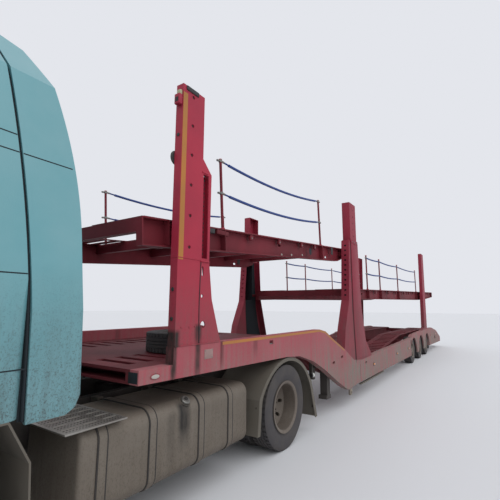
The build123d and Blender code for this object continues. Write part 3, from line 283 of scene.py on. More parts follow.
def braided(name, base):
    """Plastic-sheathed rope; the twist of its sheath is drawn coarser than it is, so that it shows."""
    material, tree, shader = start_material(name)
    turned = add_node(tree, "ShaderNodeMapping", {"Rotation": (0, 0.9, 0)}, {"Vector": place_shaded(tree)})
    lay = add_node(tree, "ShaderNodeTexWave", {"Scale": 14.0, "Distortion": 1.0},
                   {"Vector": turned.outputs[0]})
    tree.links.new(blended(tree, lay.outputs["Fac"], darker(base, 0.45), base), shader.inputs["Base Color"])
    dressed(shader, {"Roughness": 0.55})
    bumped(tree, lay.outputs["Fac"], 0.0015, shader)
    return material


# Finishes, named for what they cover. A colour is a hex value, or the name of a paint in the panel.
WEATHERED = {
    # Baked enamel on pressed steel: smooth and glossy above, dull with spatter towards the sills
    "cab_enamel": dict(base="cab", dirt="#474E4D", fade="#5C98A0", clean_above=2.0, dirty_below=0.9,
                       fade_share=0.5, film=0.85, gloss=0.32, coat=0.3, speckle=0.7),
    # Brushed-on alkyd enamel on steel posts, chalked by the sun
    "post_enamel": dict(base="post", dirt="#6E5A57", fade="#8C2A3C", clean_above=2.2, dirty_below=1.1,
                        streaks=0.6, gloss=0.5, shine=0.25,
                        runs=((1.70, 0.06, 1.34, 1.56, 1.0), (1.99, 0.07, 1.10, 1.52, 1.0))),
    # The posts' red enamel drawn darker on the middle and rear posts: painted shade
    "aft_post_enamel": dict(base="#8E2B3C", dirt="#655350", fade="#7A2434", clean_above=2.2, dirty_below=0.8,
                            streaks=0.7, gloss=0.55, shine=0.25),
    # The same enamel near the road, under a thick film that rain has run through
    "beam_enamel": dict(base="beam", dirt="#7E766F", fade="#AC5660", clean_above=1.55, dirty_below=0.55,
                        film=1.6, streaks=0.8, gloss=0.65, shine=0.25,
                        runs=((1.70, 0.05, 1.0, 1.42, 1.0), (1.995, 0.045, 1.0, 1.42, 1.0),
                              (1.35, 0.04, 1.1, 1.41, 0.6), (0.75, 0.06, 1.15, 1.42, 0.4))),
    # The same enamel in the decks' shade: darker, worn matt
    "deck_enamel": dict(base="deck", dirt="#4A2E2C", fade="#5E1C26", clean_above=3.0, dirty_below=1.0,
                        fade_share=0.5, film=0.55, streaks=0.3, gloss=0.6, shine=0.25),
    # Rolled aluminium, dulled by dried mud
    "tank_aluminium": dict(base="#7A7268", dirt="#62584D", fade="#6F675D", clean_above=1.6, dirty_below=0.2,
                           fade_share=0.6, film=0.9, streaks=0.4, metallic=0.35, gloss=0.5,
                           runs=((1.80, 0.09, 0.52, 0.905, 1.0), (1.95, 0.06, 0.4, 0.85, 0.3))),
    # Pressed steel wheels: grey paint under brown dust
    "rim_steel": dict(base="#7A7168", dirt="#5A5148", fade="#6A6058", clean_above=1.2, dirty_below=0.1,
                      fade_share=0.6, film=0.7, metallic=0.2, gloss=0.6),
    # Road-marking paint: flat amber, chalky where it fades
    "stripe_paint": dict(base="stripe", dirt="#7D6A62", fade="#8E6230", clean_above=1.5, dirty_below=0.8,
                         film=0.6, gloss=0.55),
}
# Base colour, roughness, dirt and its share, then other settings
PLAIN = {
    # Moulded polypropylene: dull and greyed by dried spray
    "mudguard_plastic": ("#5E5951", 0.75, "#6E675B", 0.5, {"vary": 0.3}),
    # Carbon-black rubber: nearly matt, with dust in its grain
    "tyre_rubber": ("#35343A", 0.85, "#5C5650", 0.55, {"scale": 90, "vary": 0.3}),
    # Chassis enamel on rolled steel: dark and dusty
    "frame_steel": ("#2B2826", 0.7, "#57504A", 0.5, {}),
    # Sand-cast iron: coarse grain with a faint sheen
    "cast_iron": ("#3A3733", 0.65, None, 0, {"metallic": 0.4, "scale": 120, "depth": 0.001}),
    # Moulded ABS: dark and even, a little glossy
    "trim_plastic": ("#232427", 0.6, "#4F4C48", 0.3, {}),
    # Extruded rubber and dark seams, matt; also the dark sheets of painted shade in holes, slots and hollows
    "seam_rubber": ("#101a20", 0.8, None, 0, {"vary": 0.1}),
    # Hot-dip zinc: pale grey metal with a coarse spangle
    "galvanised": ("#8C8C88", 0.5, "#77706A", 0.4, {"metallic": 0.8, "scale": 60, "vary": 0.2}),
    # Polished steel: bright, softened by dirt
    "polished_steel": ("#9A9A98", 0.35, "#6E675E", 0.4, {"metallic": 0.9, "vary": 0.15}),
    # Woven polyester: soft and without shine
    "seat_cloth": ("#3B4250", 0.95, None, 0, {"scale": 500, "depth": 0.0008}),
    # Silvered glass: nearly a mirror
    "mirror_glass": ("#C4CACC", 0.12, None, 0, {"metallic": 1.0, "depth": 0.0, "vary": 0.02}),
    # Zinc-plated nuts gone brown
    "rim_bolt": ("#4E4740", 0.7, "#6A6058", 0.5, {"metallic": 0.5}),
    # Rubber strip under straps and caps: black and dull
    "strap_rubber": ("#1D1C1D", 0.75, "#57504A", 0.3, {}),
    # Treaded aluminium sheet rubbed bright by boots
    "bright_aluminium": ("#A5A29C", 0.4, "#7A7268", 0.4, {"metallic": 0.8, "vary": 0.2}),
    # Smoked acrylic: dark with a clear gloss
    "smoked_plastic": ("#1B2124", 0.2, None, 0, {"vary": 0.1, "depth": 0.0}),
    # Brighter red strip on the lit top edges of the decks' side members: a painted highlight
    "worn_edge": ("#B23A4A", 0.55, "#5E1C26", 0.5, {}),
    # Enamel inside holes and folds, where no light comes
    "shadow_red": ("#3A171C", 0.8, "#4A2E2C", 0.4, {}),
    # Zinc-plated ring, yellowed
    "lashing_ring": ("#A79A86", 0.6, "dirt", 0.3, {}),
    # Moulded lamp cover and coated plates: pale, evenly dusty
    "plate_cream": ("#B9B58E", 0.4, "dirt", 0.2, {}),
    "plate_rosy": ("#A88480", 0.6, "dirt", 0.3, {}),
    "plate_white": ("#B8B2AB", 0.5, "dirt", 0.4, {}),
}
LENSES = {"clear_lens": "#C9CCC8", "red_lens": "#8C1A1E", "amber_lens": "#C2711C"}
MATERIALS = {}


def make_materials(paint):
    """Makes all the finishes."""
    def tone(value):
        return linear(value) if value.startswith("#") else tuple(getattr(paint, value))

    for name, settings in WEATHERED.items():
        tones = {key: tone(settings[key]) for key in ("base", "dirt", "fade")}
        MATERIALS[name] = weathered(name, **{**settings, **tones})
    for name, (base, rough, dirt, share, settings) in PLAIN.items():
        MATERIALS[name] = plain(name, linear(base), rough, dirt and tone(dirt), share, **settings)
    for name, tint in LENSES.items():
        MATERIALS[name] = lens(name, linear(tint))
    MATERIALS["rope_sheath"] = braided("rope_sheath", tone("rope"))
    MATERIALS["cab_glass"] = glass("cab_glass", linear("#1E2A2E"))


NODE_FINISH = {
    "cab_enamel": ("cab_shell", "cab_roof", "front_panel", "side_fairings", "door_left", "door_right"),
    "cab_glass": ("windscreen", "door_glass_left", "door_glass_right"),
    "trim_plastic": ("front_bumper", "dashboard", "mirrors"),
    "seat_cloth": ("cab_seats",),
    "frame_steel": ("tractor_frame", "front_axle", "drive_axle", "trailer_axles", "knuckle_left",
                    "knuckle_right", "fifth_wheel", "landing_legs"),
    "cast_iron": ("engine_block",),
    "clear_lens": ("tractor_lamps",),
    "red_lens": ("trailer_lamps",),
    "tank_aluminium": ("fuel_tanks",),
    "galvanised": ("step_plates",),
    "mudguard_plastic": ("mudguards",),
    "tyre_rubber": tuple(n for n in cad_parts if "tyre" in n),
    "rim_steel": tuple(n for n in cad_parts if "rim" in n),
    "post_enamel": ("front_posts", "front_shoes"),
    "aft_post_enamel": ("middle_posts", "rear_posts", "rear_shoes"),
    "beam_enamel": ("side_beams",),
    "deck_enamel": ("gooseneck_deck", "low_deck", "front_deck", "rear_deck"),
    "rope_sheath": ("front_ropes", "rear_ropes"),
}


class TRANSPORTER_OT_finish_frame(bpy.types.Operator):
    """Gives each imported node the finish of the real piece"""
    bl_idname = "transporter.finish_frame"
    bl_label = "Finish the frame"

    def execute(self, context):
        make_materials(context.scene.transporter_colours)
        bare = set(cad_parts)
        for finish, nodes in NODE_FINISH.items():
            for name in nodes:
                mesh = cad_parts[name].data
                mesh.materials.clear()
                mesh.materials.append(MATERIALS[finish])
                bare.discard(name)
        if bare:
            raise RuntimeError(f"nodes without a finish: {sorted(bare)}")
        return {"FINISHED"}


# Making of pieces


def pick(*parts):
    """Goes to object mode with only these parts selected, the first of them active."""
    if bpy.context.mode != "OBJECT":
        bpy.ops.object.mode_set(mode="OBJECT")
    bpy.ops.object.select_all(action="DESELECT")
    for part in parts:
        part.select_set(True)
    if parts:
        bpy.context.view_layer.objects.active = parts[0]


def edit_all():
    """Goes to edit mode with everything selected."""
    bpy.ops.object.mode_set(mode="EDIT")
    bpy.ops.mesh.select_all(action="SELECT")


def edit_faces(part, wanted):
    """Goes to edit mode with only the faces selected that a test wants."""
    for item in (*part.data.vertices, *part.data.edges):
        item.select = False
    for face in part.data.polygons:
        face.select = wanted(face)
    bpy.ops.object.mode_set(mode="EDIT")
    bpy.ops.mesh.select_mode(type="FACE")


def edit_done(part):
    """Goes back to object mode and gives the part."""
    bpy.ops.object.mode_set(mode="OBJECT")
    return part


def at(station, y, z):
    """Place given from the drive axle, in the frame's axes."""
    return Vector((DRIVE_X + station, y, z))


def settled(finish):
    """The new object with its place, turn and scale put into its mesh, in the finish named."""
    part = bpy.context.object
    bpy.ops.object.transform_apply(location=True, rotation=True, scale=True)
    part.data.materials.clear()
    part.data.materials.append(MATERIALS[finish])
    return part


def block(low, high, finish, bevel=0.003):
    """Block between two corners with its edges rounded."""
    low, high = Vector(low), Vector(high)
    pick()
    bpy.ops.mesh.primitive_cube_add(size=1, location=(low + high) / 2)
    bpy.context.object.scale = high - low
    part = settled(finish)
    edit_all()
    bpy.ops.mesh.bevel(offset=bevel, segments=2, affect="EDGES")
    return edit_done(part)


def rod(start, end, radius, finish, sides=16, bevel=0.002):
    """Bar between two places, with both ends chamfered; six sides make a nut or a bolt head."""
    start, end = Vector(start), Vector(end)
    run = end - start
    pick()
    bpy.ops.mesh.primitive_cylinder_add(
        vertices=sides, radius=radius, depth=run.length, location=(start + end) / 2,
        rotation=run.to_track_quat("Z", "Y").to_euler())
    part = settled(finish)
    along = run.normalized()
    edit_faces(part, lambda face: abs(face.normal.dot(along)) > 0.99)
    bpy.ops.mesh.bevel(offset=min(bevel, radius * 0.4), segments=1, affect="EDGES")
    return edit_done(part)


def drawn(points, run, finish, bevel=0.0):
    """Solid drawn from a flat outline along a vector."""
    pick()
    bpy.ops.mesh.primitive_circle_add(vertices=len(points), fill_type="NGON")
    for vertex, point in zip(bpy.context.object.data.vertices, points):
        vertex.co = point
    part = settled(finish)
    edit_all()
    bpy.ops.mesh.extrude_region_move(TRANSFORM_OT_translate={"value": tuple(run)})
    bpy.ops.mesh.select_all(action="SELECT")
    bpy.ops.mesh.normals_make_consistent(inside=False)
    if bevel:
        bpy.ops.mesh.bevel(offset=bevel, segments=2, affect="EDGES")
    return edit_done(part)


def spun(section, steps, finish):
    """Ring of a closed section, given across and outward, turned about the Y axis."""
    pick()
    bpy.ops.mesh.primitive_circle_add(vertices=len(section))
    for vertex, (across, outward) in zip(bpy.context.object.data.vertices, section):
        vertex.co = (outward, across, 0)
    part = settled(finish)
    edit_all()
    bpy.ops.mesh.spin(steps=steps, angle=2 * math.pi, center=(0, 0, 0), axis=(0, 1, 0))
    bpy.ops.mesh.select_all(action="SELECT")
    bpy.ops.mesh.remove_doubles(threshold=0.00005)
    bpy.ops.mesh.normals_make_consistent(inside=False)
    return edit_done(part)


def tube(points, radius, finish, sides=8):
    """Bent tube that follows at least five places smoothly."""
    pick()
    bpy.ops.curve.primitive_nurbs_path_add()
    path = bpy.context.object
    spline = path.data.splines[0]
    spline.points.add(len(points) - len(spline.points))
    for knot, point in zip(spline.points, points):
        knot.co = (*point, 1)
    spline.order_u = 3
    spline.use_endpoint_u = True
    path.data.bevel_depth = radius
    path.data.bevel_resolution = sides // 4
    path.data.use_fill_caps = True
    bpy.ops.object.convert(target="MESH")
    return settled(finish)


def changed(part, kind, **settings):
    """Applies a modifier with the settings given."""
    pick(part)
    bpy.ops.object.modifier_add(type=kind)
    change = part.modifiers[-1]
    for key, value in settings.items():
        setattr(change, key, value)
    bpy.ops.object.modifier_apply(modifier=change.name)
    return part


def both_sides(part):
    """Adds the part's mirror image across the vehicle."""
    return changed(part, "MIRROR", use_axis=(False, True, False), use_mirror_merge=False)


def rowed(part, count, step):
    """Repeats the part in a row, each copy one step on."""
    return changed(part, "ARRAY", count=count, use_relative_offset=False, use_constant_offset=True,
                   constant_offset_displace=step)


def copied(part, shift, turn=0.0):
    """Copy of the part, turned about the X axis and then moved."""
    pick(part)
    bpy.ops.object.duplicate(linked=False)
    twin = bpy.context.object
    twin.rotation_euler = (turn, 0, 0)
    twin.location = shift
    bpy.ops.object.transform_apply(location=True, rotation=True, scale=True)
    return twin


def circled(part, count, centre):
    """Repeats the part evenly about a spindle through the centre."""
    pick(part)
    edit_all()
    bpy.ops.mesh.spin(steps=count - 1, dupli=True, angle=2 * math.pi * (count - 1) / count,
                      center=centre, axis=(0, 1, 0))
    return edit_done(part)


def joined(name, parts, body, replaces=()):
    """One named piece of several parts, riding on a body and standing for the nodes given."""
    pick(*parts)
    if len(parts) > 1:
        bpy.ops.object.join()
    piece = bpy.context.object
    piece.name = name
    piece.data.name = name
    bpy.ops.object.shade_smooth_by_angle(angle=math.radians(35))
    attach(piece, body)
    if replaces:
        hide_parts(*replaces)
    return piece


def paired(name, parts, body, replaces=()):
    """One named piece of parts drawn for the left side, with their mirror images."""
    return joined(name, [both_sides(part) for part in parts], body, replaces)


def ellipse(centre, wide, high, count=20):
    """Outline of an ellipse facing sideways."""
    return [centre + Vector((wide * math.cos(a), 0, high * math.sin(a)))
            for a in (2 * math.pi * n / count for n in range(count))]


def outline(rear, front, foot, top):
    """Station and height of the corners between two stations and two heights."""
    return (rear, foot), (front, foot), (front, top), (rear, top)


def node_centre(name):
    """Middle and size of a node's box."""
    low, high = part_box(name)
    return (low + high) / 2, high - low


# Wheels

# Half of a tyre's section: shares of its half width, and of its height from bead to tread
SIDE_WALL = ((0.80, 0.0), (0.86, 0.05), (0.845, 0.13), (0.93, 0.28), (1.0, 0.50), (0.985, 0.62),
             (0.992, 0.64), (0.975, 0.80), (0.94, 0.92), (0.88, 0.985))
TREAD = ((0.54, 1.0), (0.52, 0.93), (0.46, 0.93), (0.44, 1.0), (0.20, 1.0), (0.18, 0.93), (0.12, 0.93),
         (0.10, 1.0))
LINING = ((0.80, 0.84), (0.87, 0.5), (0.74, 0.04))
TREAD_STEPS = 144
# Shares of the half width between which the outer rib lies, with its cross cuts
OUTER_RIB = (0.54, 0.88)
# Steps round a rim's pieces
ROUND_STEPS = 72


def tyre_ring(radius, width, bead, groove):
    """Tyre about the Y axis, with four grooves round it and cross cuts in the outer ribs."""
    outside = SIDE_WALL + TREAD
    mirrored = [[(-s, t) for s, t in reversed(line)] for line in (outside, LINING)]
    shares = [*outside, *mirrored[0], *mirrored[1], *LINING]
    section = [(s * width / 2, bead + t * (radius - bead)) for s, t in shares]
    part = spun(section, TREAD_STEPS, "tyre_rubber")
    rib_low, rib_high = (share * width / 2 for share in OUTER_RIB)

    def cross_cut(face):
        place = face.center
        step = int(math.degrees(math.atan2(place.z, place.x)) % 360 * TREAD_STEPS / 360)
        on_rib = rib_low - 0.002 < abs(place.y) < rib_high + 0.002
        return on_rib and math.hypot(place.x, place.z) > radius * 0.985 and step % 3 == 0

    edit_faces(part, cross_cut)
    bpy.ops.mesh.extrude_region_shrink_fatten(TRANSFORM_OT_shrink_fatten={"value": -groove})
    return edit_done(part)


# Bead radius, radius of the circle of nuts and their number, on the tractor's and the trailer's wheels
ROAD_WHEEL = (0.292, 0.1675, 10)
SMALL_WHEEL = (0.226, 0.145, 8)
TWIN_WIDTH = 0.27
TYRES = (
    (ROAD_WHEEL, [f"front_tyre_{side}" for side, _ in SIDES]),
    (ROAD_WHEEL, [f"drive_tyres_{side}" for side, _ in SIDES]),
    (SMALL_WHEEL, [f"trailer_tyre_{n}_{side}" for n, _ in TRAILER_AXLES for side, _ in SIDES]),
)


def put_on_wheels(make, ending, instead):
    """Puts the ring that make(radius, width, bead) gives on every wheel, twice on the twin wheels.

    The pieces stand instead of the tyres' nodes if that is asked for.
    """
    for (bead, _, _), names in TYRES:
        size = node_centre(names[0])[1]
        width = TWIN_WIDTH if names[0].startswith("drive") else size.y
        ring = make(size.z / 2, width, bead)
        spread = (size.y - width) / 2
        for name in names:
            middle = node_centre(name)[0]
            rings = [copied(ring, middle + Vector((0, shift, 0))) for shift in sorted({-spread, spread})]
            joined(f"{name}_{ending}", rings, name.replace("tyre", "wheel"), [name] if instead else ())
        bpy.data.objects.remove(ring)


class TRANSPORTER_OT_tyres(bpy.types.Operator):
    """Adds the tyres with their tread"""
    bl_idname = "transporter.tyres"
    bl_label = "Tyres"

    def execute(self, context):
        groove = context.scene.transporter_sizes.groove
        put_on_wheels(lambda *sizes: tyre_ring(*sizes, groove), "tread", True)
        middle, size = node_centre("spare_tyre")
        ring = tyre_ring(size.x / 2, size.z, SMALL_WHEEL[0], groove)
        spare = copied(ring, middle, math.pi / 2)
        bpy.data.objects.remove(ring)
        joined("spare_tyre_tread", [spare], "trailer", ["spare_tyre"])
        return {"FINISHED"}


def disc_dish(centre, disc_y, side):
    """Coned outer part of a twin wheel's disc, with a hand hole in line with each of the disc's own."""
    section = [(0.008, 0.19), (0.02, 0.176), (0.03, 0.176), (0.05, 0.2), (0.1, 0.255), (0.106, 0.268),
               (0.094, 0.268), (0.086, 0.26), (0.036, 0.206), (0.016, 0.19)]
    dish = spun([(side * across, outward) for across, outward in section], ROUND_STEPS, "rim_steel")
    hole = rod((0.222, side * 0.02, 0), (0.222, side * 0.12, 0), 0.024, "rim_steel", sides=20, bevel=0.0001)
    hole = circled(hole, 8, (0, 0, 0))
    changed(dish, "BOOLEAN", object=hole, operation="DIFFERENCE", solver="EXACT")
    bpy.data.objects.remove(hole)
    placed = copied(dish, Vector((centre.x, disc_y, centre.z)))
    bpy.data.objects.remove(dish)
    return placed


# How far the disc's face lies inward of the rim's edge, and the disc's wall
DISC_INSET = 0.089
DISC_WALL = 0.007


class TRANSPORTER_OT_wheel_fittings(bpy.types.Operator):
    """Adds the wheel nuts, the hub caps with their bolts, the valves and the twin wheels' coned discs"""
    bl_idname = "transporter.wheel_fittings"
    bl_label = "Wheel fittings"

    def execute(self, context):
        nut = context.scene.transporter_sizes.nut
        wheels = []
        for name, side in SIDES:
            wheels += [(f"front_rim_{name}", side, ROAD_WHEEL), (f"drive_rims_{name}", side, ROAD_WHEEL)]
            wheels += [(f"trailer_rim_{n}_{name}", side, SMALL_WHEEL) for n, _ in TRAILER_AXLES]
        for node, side, (bead, circle, count) in wheels:
            twin = node.startswith("drive")
            low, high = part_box(node)
            centre = (low + high) / 2
            disc_y = centre.y if twin else (high.y if side > 0 else low.y) - side * DISC_INSET
            face_y = disc_y + side * DISC_WALL
            seat = Vector((centre.x + circle, face_y, centre.z))
            parts = []
            for start, end, radius, finish, sides, bevel in (
                    (0, 0.03, nut / 2 * 1.15, "rim_bolt", 6, 0.002),
                    (-0.002, 0.006, nut * 0.78, "rim_steel", 20, 0.001),
                    (0, 0.044, 0.011, "rim_bolt", 12, 0.002)):
                pin = rod(seat + Vector((0, side * start, 0)), seat + Vector((0, side * end, 0)), radius,
                          finish, sides, bevel)
                parts.append(circled(pin, count, (centre.x, face_y, centre.z)))
            if twin:
                parts.append(disc_dish(centre, disc_y, side))
            cap_y = face_y + side * 0.082
            cap = Vector((centre.x, cap_y, centre.z))
            parts.append(rod(cap - Vector((0, side * 0.02, 0)), cap + Vector((0, side * 0.008, 0)), 0.085,
                             "rim_steel", sides=32, bevel=0.006))
            stud = Vector((centre.x + 0.105, cap_y - side * 0.004, centre.z))
            hub_bolt = rod(stud, stud + Vector((0, side * 0.012, 0)), 0.011, "rim_bolt", sides=6)
            parts.append(circled(hub_bolt, 8, (centre.x, cap_y, centre.z)))
            valve = Vector((centre.x + bead * 0.8, face_y, centre.z + 0.02))
            parts.append(rod(valve, valve + Vector((0, side * 0.07, -0.01)), 0.006, "trim_plastic", sides=8))
            joined(f"{node}_nuts", parts, node.replace("rim", "wheel"))
        return {"FINISHED"}


# Section of a rim's rolled flange, across from the tyre's edge and outward from the bead
LIP = ((-0.02, -0.014), (0.004, -0.012), (0.012, 0.004), (0.016, 0.016), (0.024, 0.014), (0.02, -0.004),
       (0.01, -0.02), (-0.02, -0.022))


def rim_lip(radius, width, bead):
    """Rolled flanges of a rim, at both edges of its tyre."""
    edge = width / 2 - 0.026
    section = [(edge + across, bead + outward) for across, outward in LIP]
    return both_sides(spun(section, ROUND_STEPS, "rim_steel"))


class TRANSPORTER_OT_rim_lips(bpy.types.Operator):
    """Adds the rolled flanges at the rims' edges"""
    bl_idname = "transporter.rim_lips"
    bl_label = "Rim lips"

    def execute(self, context):
        put_on_wheels(rim_lip, "lips", False)
        return {"FINISHED"}


# Cab

WAIST, UPPER = 1.7, 3.2
CAB_LEAN = 0.15 / (UPPER - WAIST)


def cab_side(z, proud=0.0):
    """Half width of the cab's side at a height."""
    return HALF_WIDTH - CAB_LEAN * max(z - WAIST, 0) + proud


def cab_rear(z):
    """Station of the cab's rear edge at a height: upright below the waist, bowed above it."""
    if z < WAIST:
        return 3.15 + 0.02 * (z - 1.1) / 0.6
    share = (z - WAIST) / 1.82
    return 3.17 + 0.27 * share - 0.188 * share * (1 - share)


# Width of a gap between panels, how deep its dark strip starts and how far it stands proud
GAP = 0.008
GAP_SUNK, GAP_PROUD = 0.002, 0.0006


def side_seam(low_z, high_z, rear, front):
    """Dark seam along the cab's side between two heights and two stations."""
    corners = [at(x, cab_side(z, -GAP_SUNK), z) for x, z in outline(rear, front, low_z, high_z)]
    return drawn(corners, (0, GAP_SUNK + GAP_PROUD, 0), "seam_rubber")


class TRANSPORTER_OT_cab_seams(bpy.types.Operator):
    """Adds the seams between the cab's panels and the seal in front of the fairing"""
    bl_idname = "transporter.cab_seams"
    bl_label = "Cab seams"

    def execute(self, context):
        door_rear, door_front = 3.955, 4.895
        seams = [side_seam(z, z + GAP, cab_rear(z) + 0.002, door_rear) for z in (2.756, 2.646, 1.906, 1.366)]
        seams.append(side_seam(1.17, 1.175, door_front, 4.92))
        paired("cab_seams", seams, "cab")

        def behind(z, reach, inset):
            return at(cab_rear(z) + reach, cab_side(z) - inset - max(z - 3.2, 0) * 0.6, z)

        heights = [1.08, 1.3, 1.55, 1.8, 2.1, 2.4, 2.7, 3.0, 3.2, 3.35]
        seal = [tube([behind(z, -0.012, 0.022) for z in heights], 0.011, "seam_rubber")]
        for low, high in zip(heights, heights[1:]):
            edge = [behind(z, reach, 0.04)
                    for z, reach in ((low, -0.045), (low, 0.012), (high, 0.012), (high, -0.045))]
            seal.append(drawn(edge, (0, 0.004, 0), "seam_rubber"))
        paired("cab_fairing_seal", seal, "cab")
        z = 2.646
        paired("fairing_seam", [side_seam(z, z + GAP, 2.925, cab_rear(z) - 0.022)], "cab")
        return {"FINISHED"}


class TRANSPORTER_OT_cab_side_fittings(bpy.types.Operator):
    """Adds door handles, window seals, step treads and mirror glass"""
    bl_idname = "transporter.cab_side_fittings"
    bl_label = "Cab side fittings"

    def execute(self, context):
        window = [(4.11, 1.88), (4.11, 2.2), (4.11, 2.48), (4.3, 2.48), (4.5, 2.48), (4.63, 2.18),
                  (4.76, 1.88), (4.5, 1.88), (4.3, 1.88), (4.11, 1.88)]
        for name, side in SIDES:
            trim = [
                block(at(4.02, side * 1.249, 1.60), at(4.19, side * 1.254, 1.68), "trim_plastic", 0.002),
                block(at(4.03, side * 1.252, 1.628), at(4.18, side * 1.274, 1.652), "trim_plastic", 0.005),
                rod(at(4.06, side * 1.25, 1.575), at(4.06, side * 1.257, 1.575), 0.012, "polished_steel"),
            ]
            corners = [at(x, side * cab_side(z, -0.002), z) for x, z in window]
            trim += [rod(*ends, 0.009, "seam_rubber", sides=8) for ends in zip(corners, corners[1:])]
            joined(f"door_trim_{name}", trim, f"door_{name}")
        treads = []
        for z in (0.462, 0.742):
            treads.append(block(at(4.47, 1.07, z), at(4.785, 1.245, z + 0.012), "galvanised", 0.002))
            rib = block(at(4.48, 1.08, z + 0.012), at(4.775, 1.088, z + 0.018), "galvanised", 0.001)
            treads.append(rowed(rib, 10, (0, 0.016, 0)))
        paired("cab_step_treads", treads, "tractor")
        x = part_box("mirrors")[0].x
        glasses = [block((x + 0.153, 1.328, low), (x + 0.158, 1.522, high), "mirror_glass", 0.002)
                   for low, high in ((2.05, 2.40), (1.87, 2.03))]
        paired("mirror_glasses", glasses, "cab")
        return {"FINISHED"}


class TRANSPORTER_OT_cab_front_fittings(bpy.types.Operator):
    """Adds the grille bars, wipers, visor, lamp units, number plate blank and bumper seams"""
    bl_idname = "transporter.cab_front_fittings"
    bl_label = "Cab front fittings"

    def execute(self, context):
        bars = block(at(4.985, -0.75, 1.253), at(5.004, 0.75, 1.262), "trim_plastic", 0.002)
        uprights = block(at(4.968, -0.745, 1.24), at(4.972, -0.741, 1.67), "trim_plastic", 0.0005)
        grille = [rowed(bars, 5, (0, 0, 0.09)), rowed(uprights, 75, (0, 0.02, 0))]
        joined("grille_bars", grille, "cab")

        def on_screen(z, proud, y):
            return at(5.01 - 0.26 * (z - 1.8) / 0.85 + proud, y, z)

        wipers = []
        for y in (-0.75, 0.05, 0.8):
            wipers += [
                rod(at(5.012, y, 1.80), on_screen(2.12, 0.018, y - 0.42), 0.008, "trim_plastic", sides=8),
                rod(on_screen(1.86, 0.012, y - 0.34), on_screen(2.32, 0.012, y - 0.46), 0.007,
                    "seam_rubber", sides=8),
                rod(at(5.0, y, 1.79), at(5.022, y, 1.81), 0.016, "trim_plastic"),
            ]
        joined("wipers", wipers, "cab")
        visor = drawn([at(4.76, 1.02, 2.66), at(4.93, 1.0, 2.60), at(4.97, 0.0, 2.59), at(4.93, -1.0, 2.60),
                       at(4.76, -1.02, 2.66)], (-0.004, 0, 0.012), "smoked_plastic", 0.002)
        stays = [rod(at(4.74, y, 2.655), at(4.90, y * 0.99, 2.617), 0.008, "trim_plastic")
                 for y in (-0.9, -0.3, 0.3, 0.9)]
        joined("sun_visor", [visor, *stays], "cab")
        lamps = []
        for y in (0.76, 0.94):
            lamps.append(rod(at(5.092, y, 0.79), at(5.0985, y, 0.79), 0.072, "mirror_glass", 32, 0.004))
            lamps.append(rod(at(5.095, y, 0.79), at(5.0995, y, 0.79), 0.05, "clear_lens", 32, 0.003))
        lamps.append(block(at(5.09, 1.04, 0.71), at(5.0985, 1.11, 0.87), "amber_lens", 0.004))
        lamps.append(block(at(5.085, 0.72, 0.50), at(5.1, 0.90, 0.58), "clear_lens", 0.004))
        paired("headlamp_units", lamps, "tractor")
        plate = [block(at(5.092, -0.27, 0.60), at(5.0985, 0.27, 0.73), "trim_plastic", 0.003),
                 block(at(5.095, -0.26, 0.61), at(5.0999, 0.26, 0.72), "plate_white", 0.002)]
        joined("front_plate_blank", plate, "tractor")
        seams = [block(at(5.0985, y0, z0), at(5.1, y1, z1), "seam_rubber", 0.0005) for y0, z0, y1, z1 in (
            (-1.2, 1.0, 1.2, 1.006), (-0.42, 0.66, -0.414, 1.0), (0.414, 0.66, 0.42, 1.0))]
        joined("bumper_seams", seams, "tractor")
        return {"FINISHED"}


# Tank, step plate and mudguards


class TRANSPORTER_OT_tank_fittings(bpy.types.Operator):
    """Adds the tanks' strap edges, the filler cap and the treaded step plates that replace the plain ones"""
    bl_idname = "transporter.tank_fittings"
    bl_label = "Tank fittings"

    def execute(self, context):
        low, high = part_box("fuel_tanks")
        length = high.x - low.x
        round_out = 0.118
        outer, inner = high.y - round_out, 0.512 + round_out
        top, base = high.z - round_out, low.z + round_out
        straps = []
        for share in (0.15, 0.375, 0.67, 0.9):
            for shift in (-0.012, 0.06):
                x = low.x + share * length + shift
                corners = []
                for quarter, (y, z) in enumerate(((outer, top), (inner, top), (inner, base), (outer, base))):
                    for angle in (math.radians(90 * quarter + 15 * n) for n in range(7)):
                        corners.append(Vector((x, y + round_out * math.cos(angle),
                                               z + round_out * math.sin(angle))))
                straps.append(drawn(corners, (0.012, 0, 0), "strap_rubber", 0.003))
        paired("tank_strap_edges", straps, "tractor")
        cap = at(1.755, 1.15, 0.892)
        out = Vector((0, 0.6, 0.8))
        filler = [rod(cap + out * start, cap + out * end, radius, finish, sides, bevel)
                  for start, end, radius, finish, sides, bevel in (
                      (-0.03, 0.024, 0.056, "tank_aluminium", 32, 0.004),
                      (0.02, 0.044, 0.044, "galvanised", 16, 0.008),
                      (0.04, 0.054, 0.018, "strap_rubber", 12, 0.004))]
        joined("tank_filler", filler, "tractor")
        low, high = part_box("step_plates")
        sheet, top = 0.012, high.z - 0.004
        row = (0, 0.1, 0)
        plate = [block((low.x, 0.59, top - sheet), (high.x, HALF_WIDTH, top), "bright_aluminium", 0.002)]
        for x in (low.x + 0.01, 2.81 + DRIVE_X):
            plate.append(block((x, 0.64, 0.928), (x + 0.04, 1.09, top - sheet + 0.001), "galvanised"))
        ridge = block((low.x + 0.03, 0.64, top - 0.001), (low.x + 0.13, 0.655, top + 0.004),
                      "bright_aluminium", 0.0015)
        plate.append(rowed(rowed(ridge, 3, (0.15, 0, 0)), 6, row))
        hole = rod((low.x + 0.03, 0.68, top - 0.002), (low.x + 0.03, 0.68, top + 0.0006), 0.0065,
                   "strap_rubber", sides=10, bevel=0.0002)
        hole = rowed(hole, 19, (0.0222, 0, 0))
        plate.append(rowed(copied(hole, Vector((0, 0.033, 0))), 6, row))
        plate.append(rowed(hole, 6, row))
        paired("step_plate_treads", plate, "tractor", ("step_plates",))
        return {"FINISHED"}


GUARD_TOP = 1.084


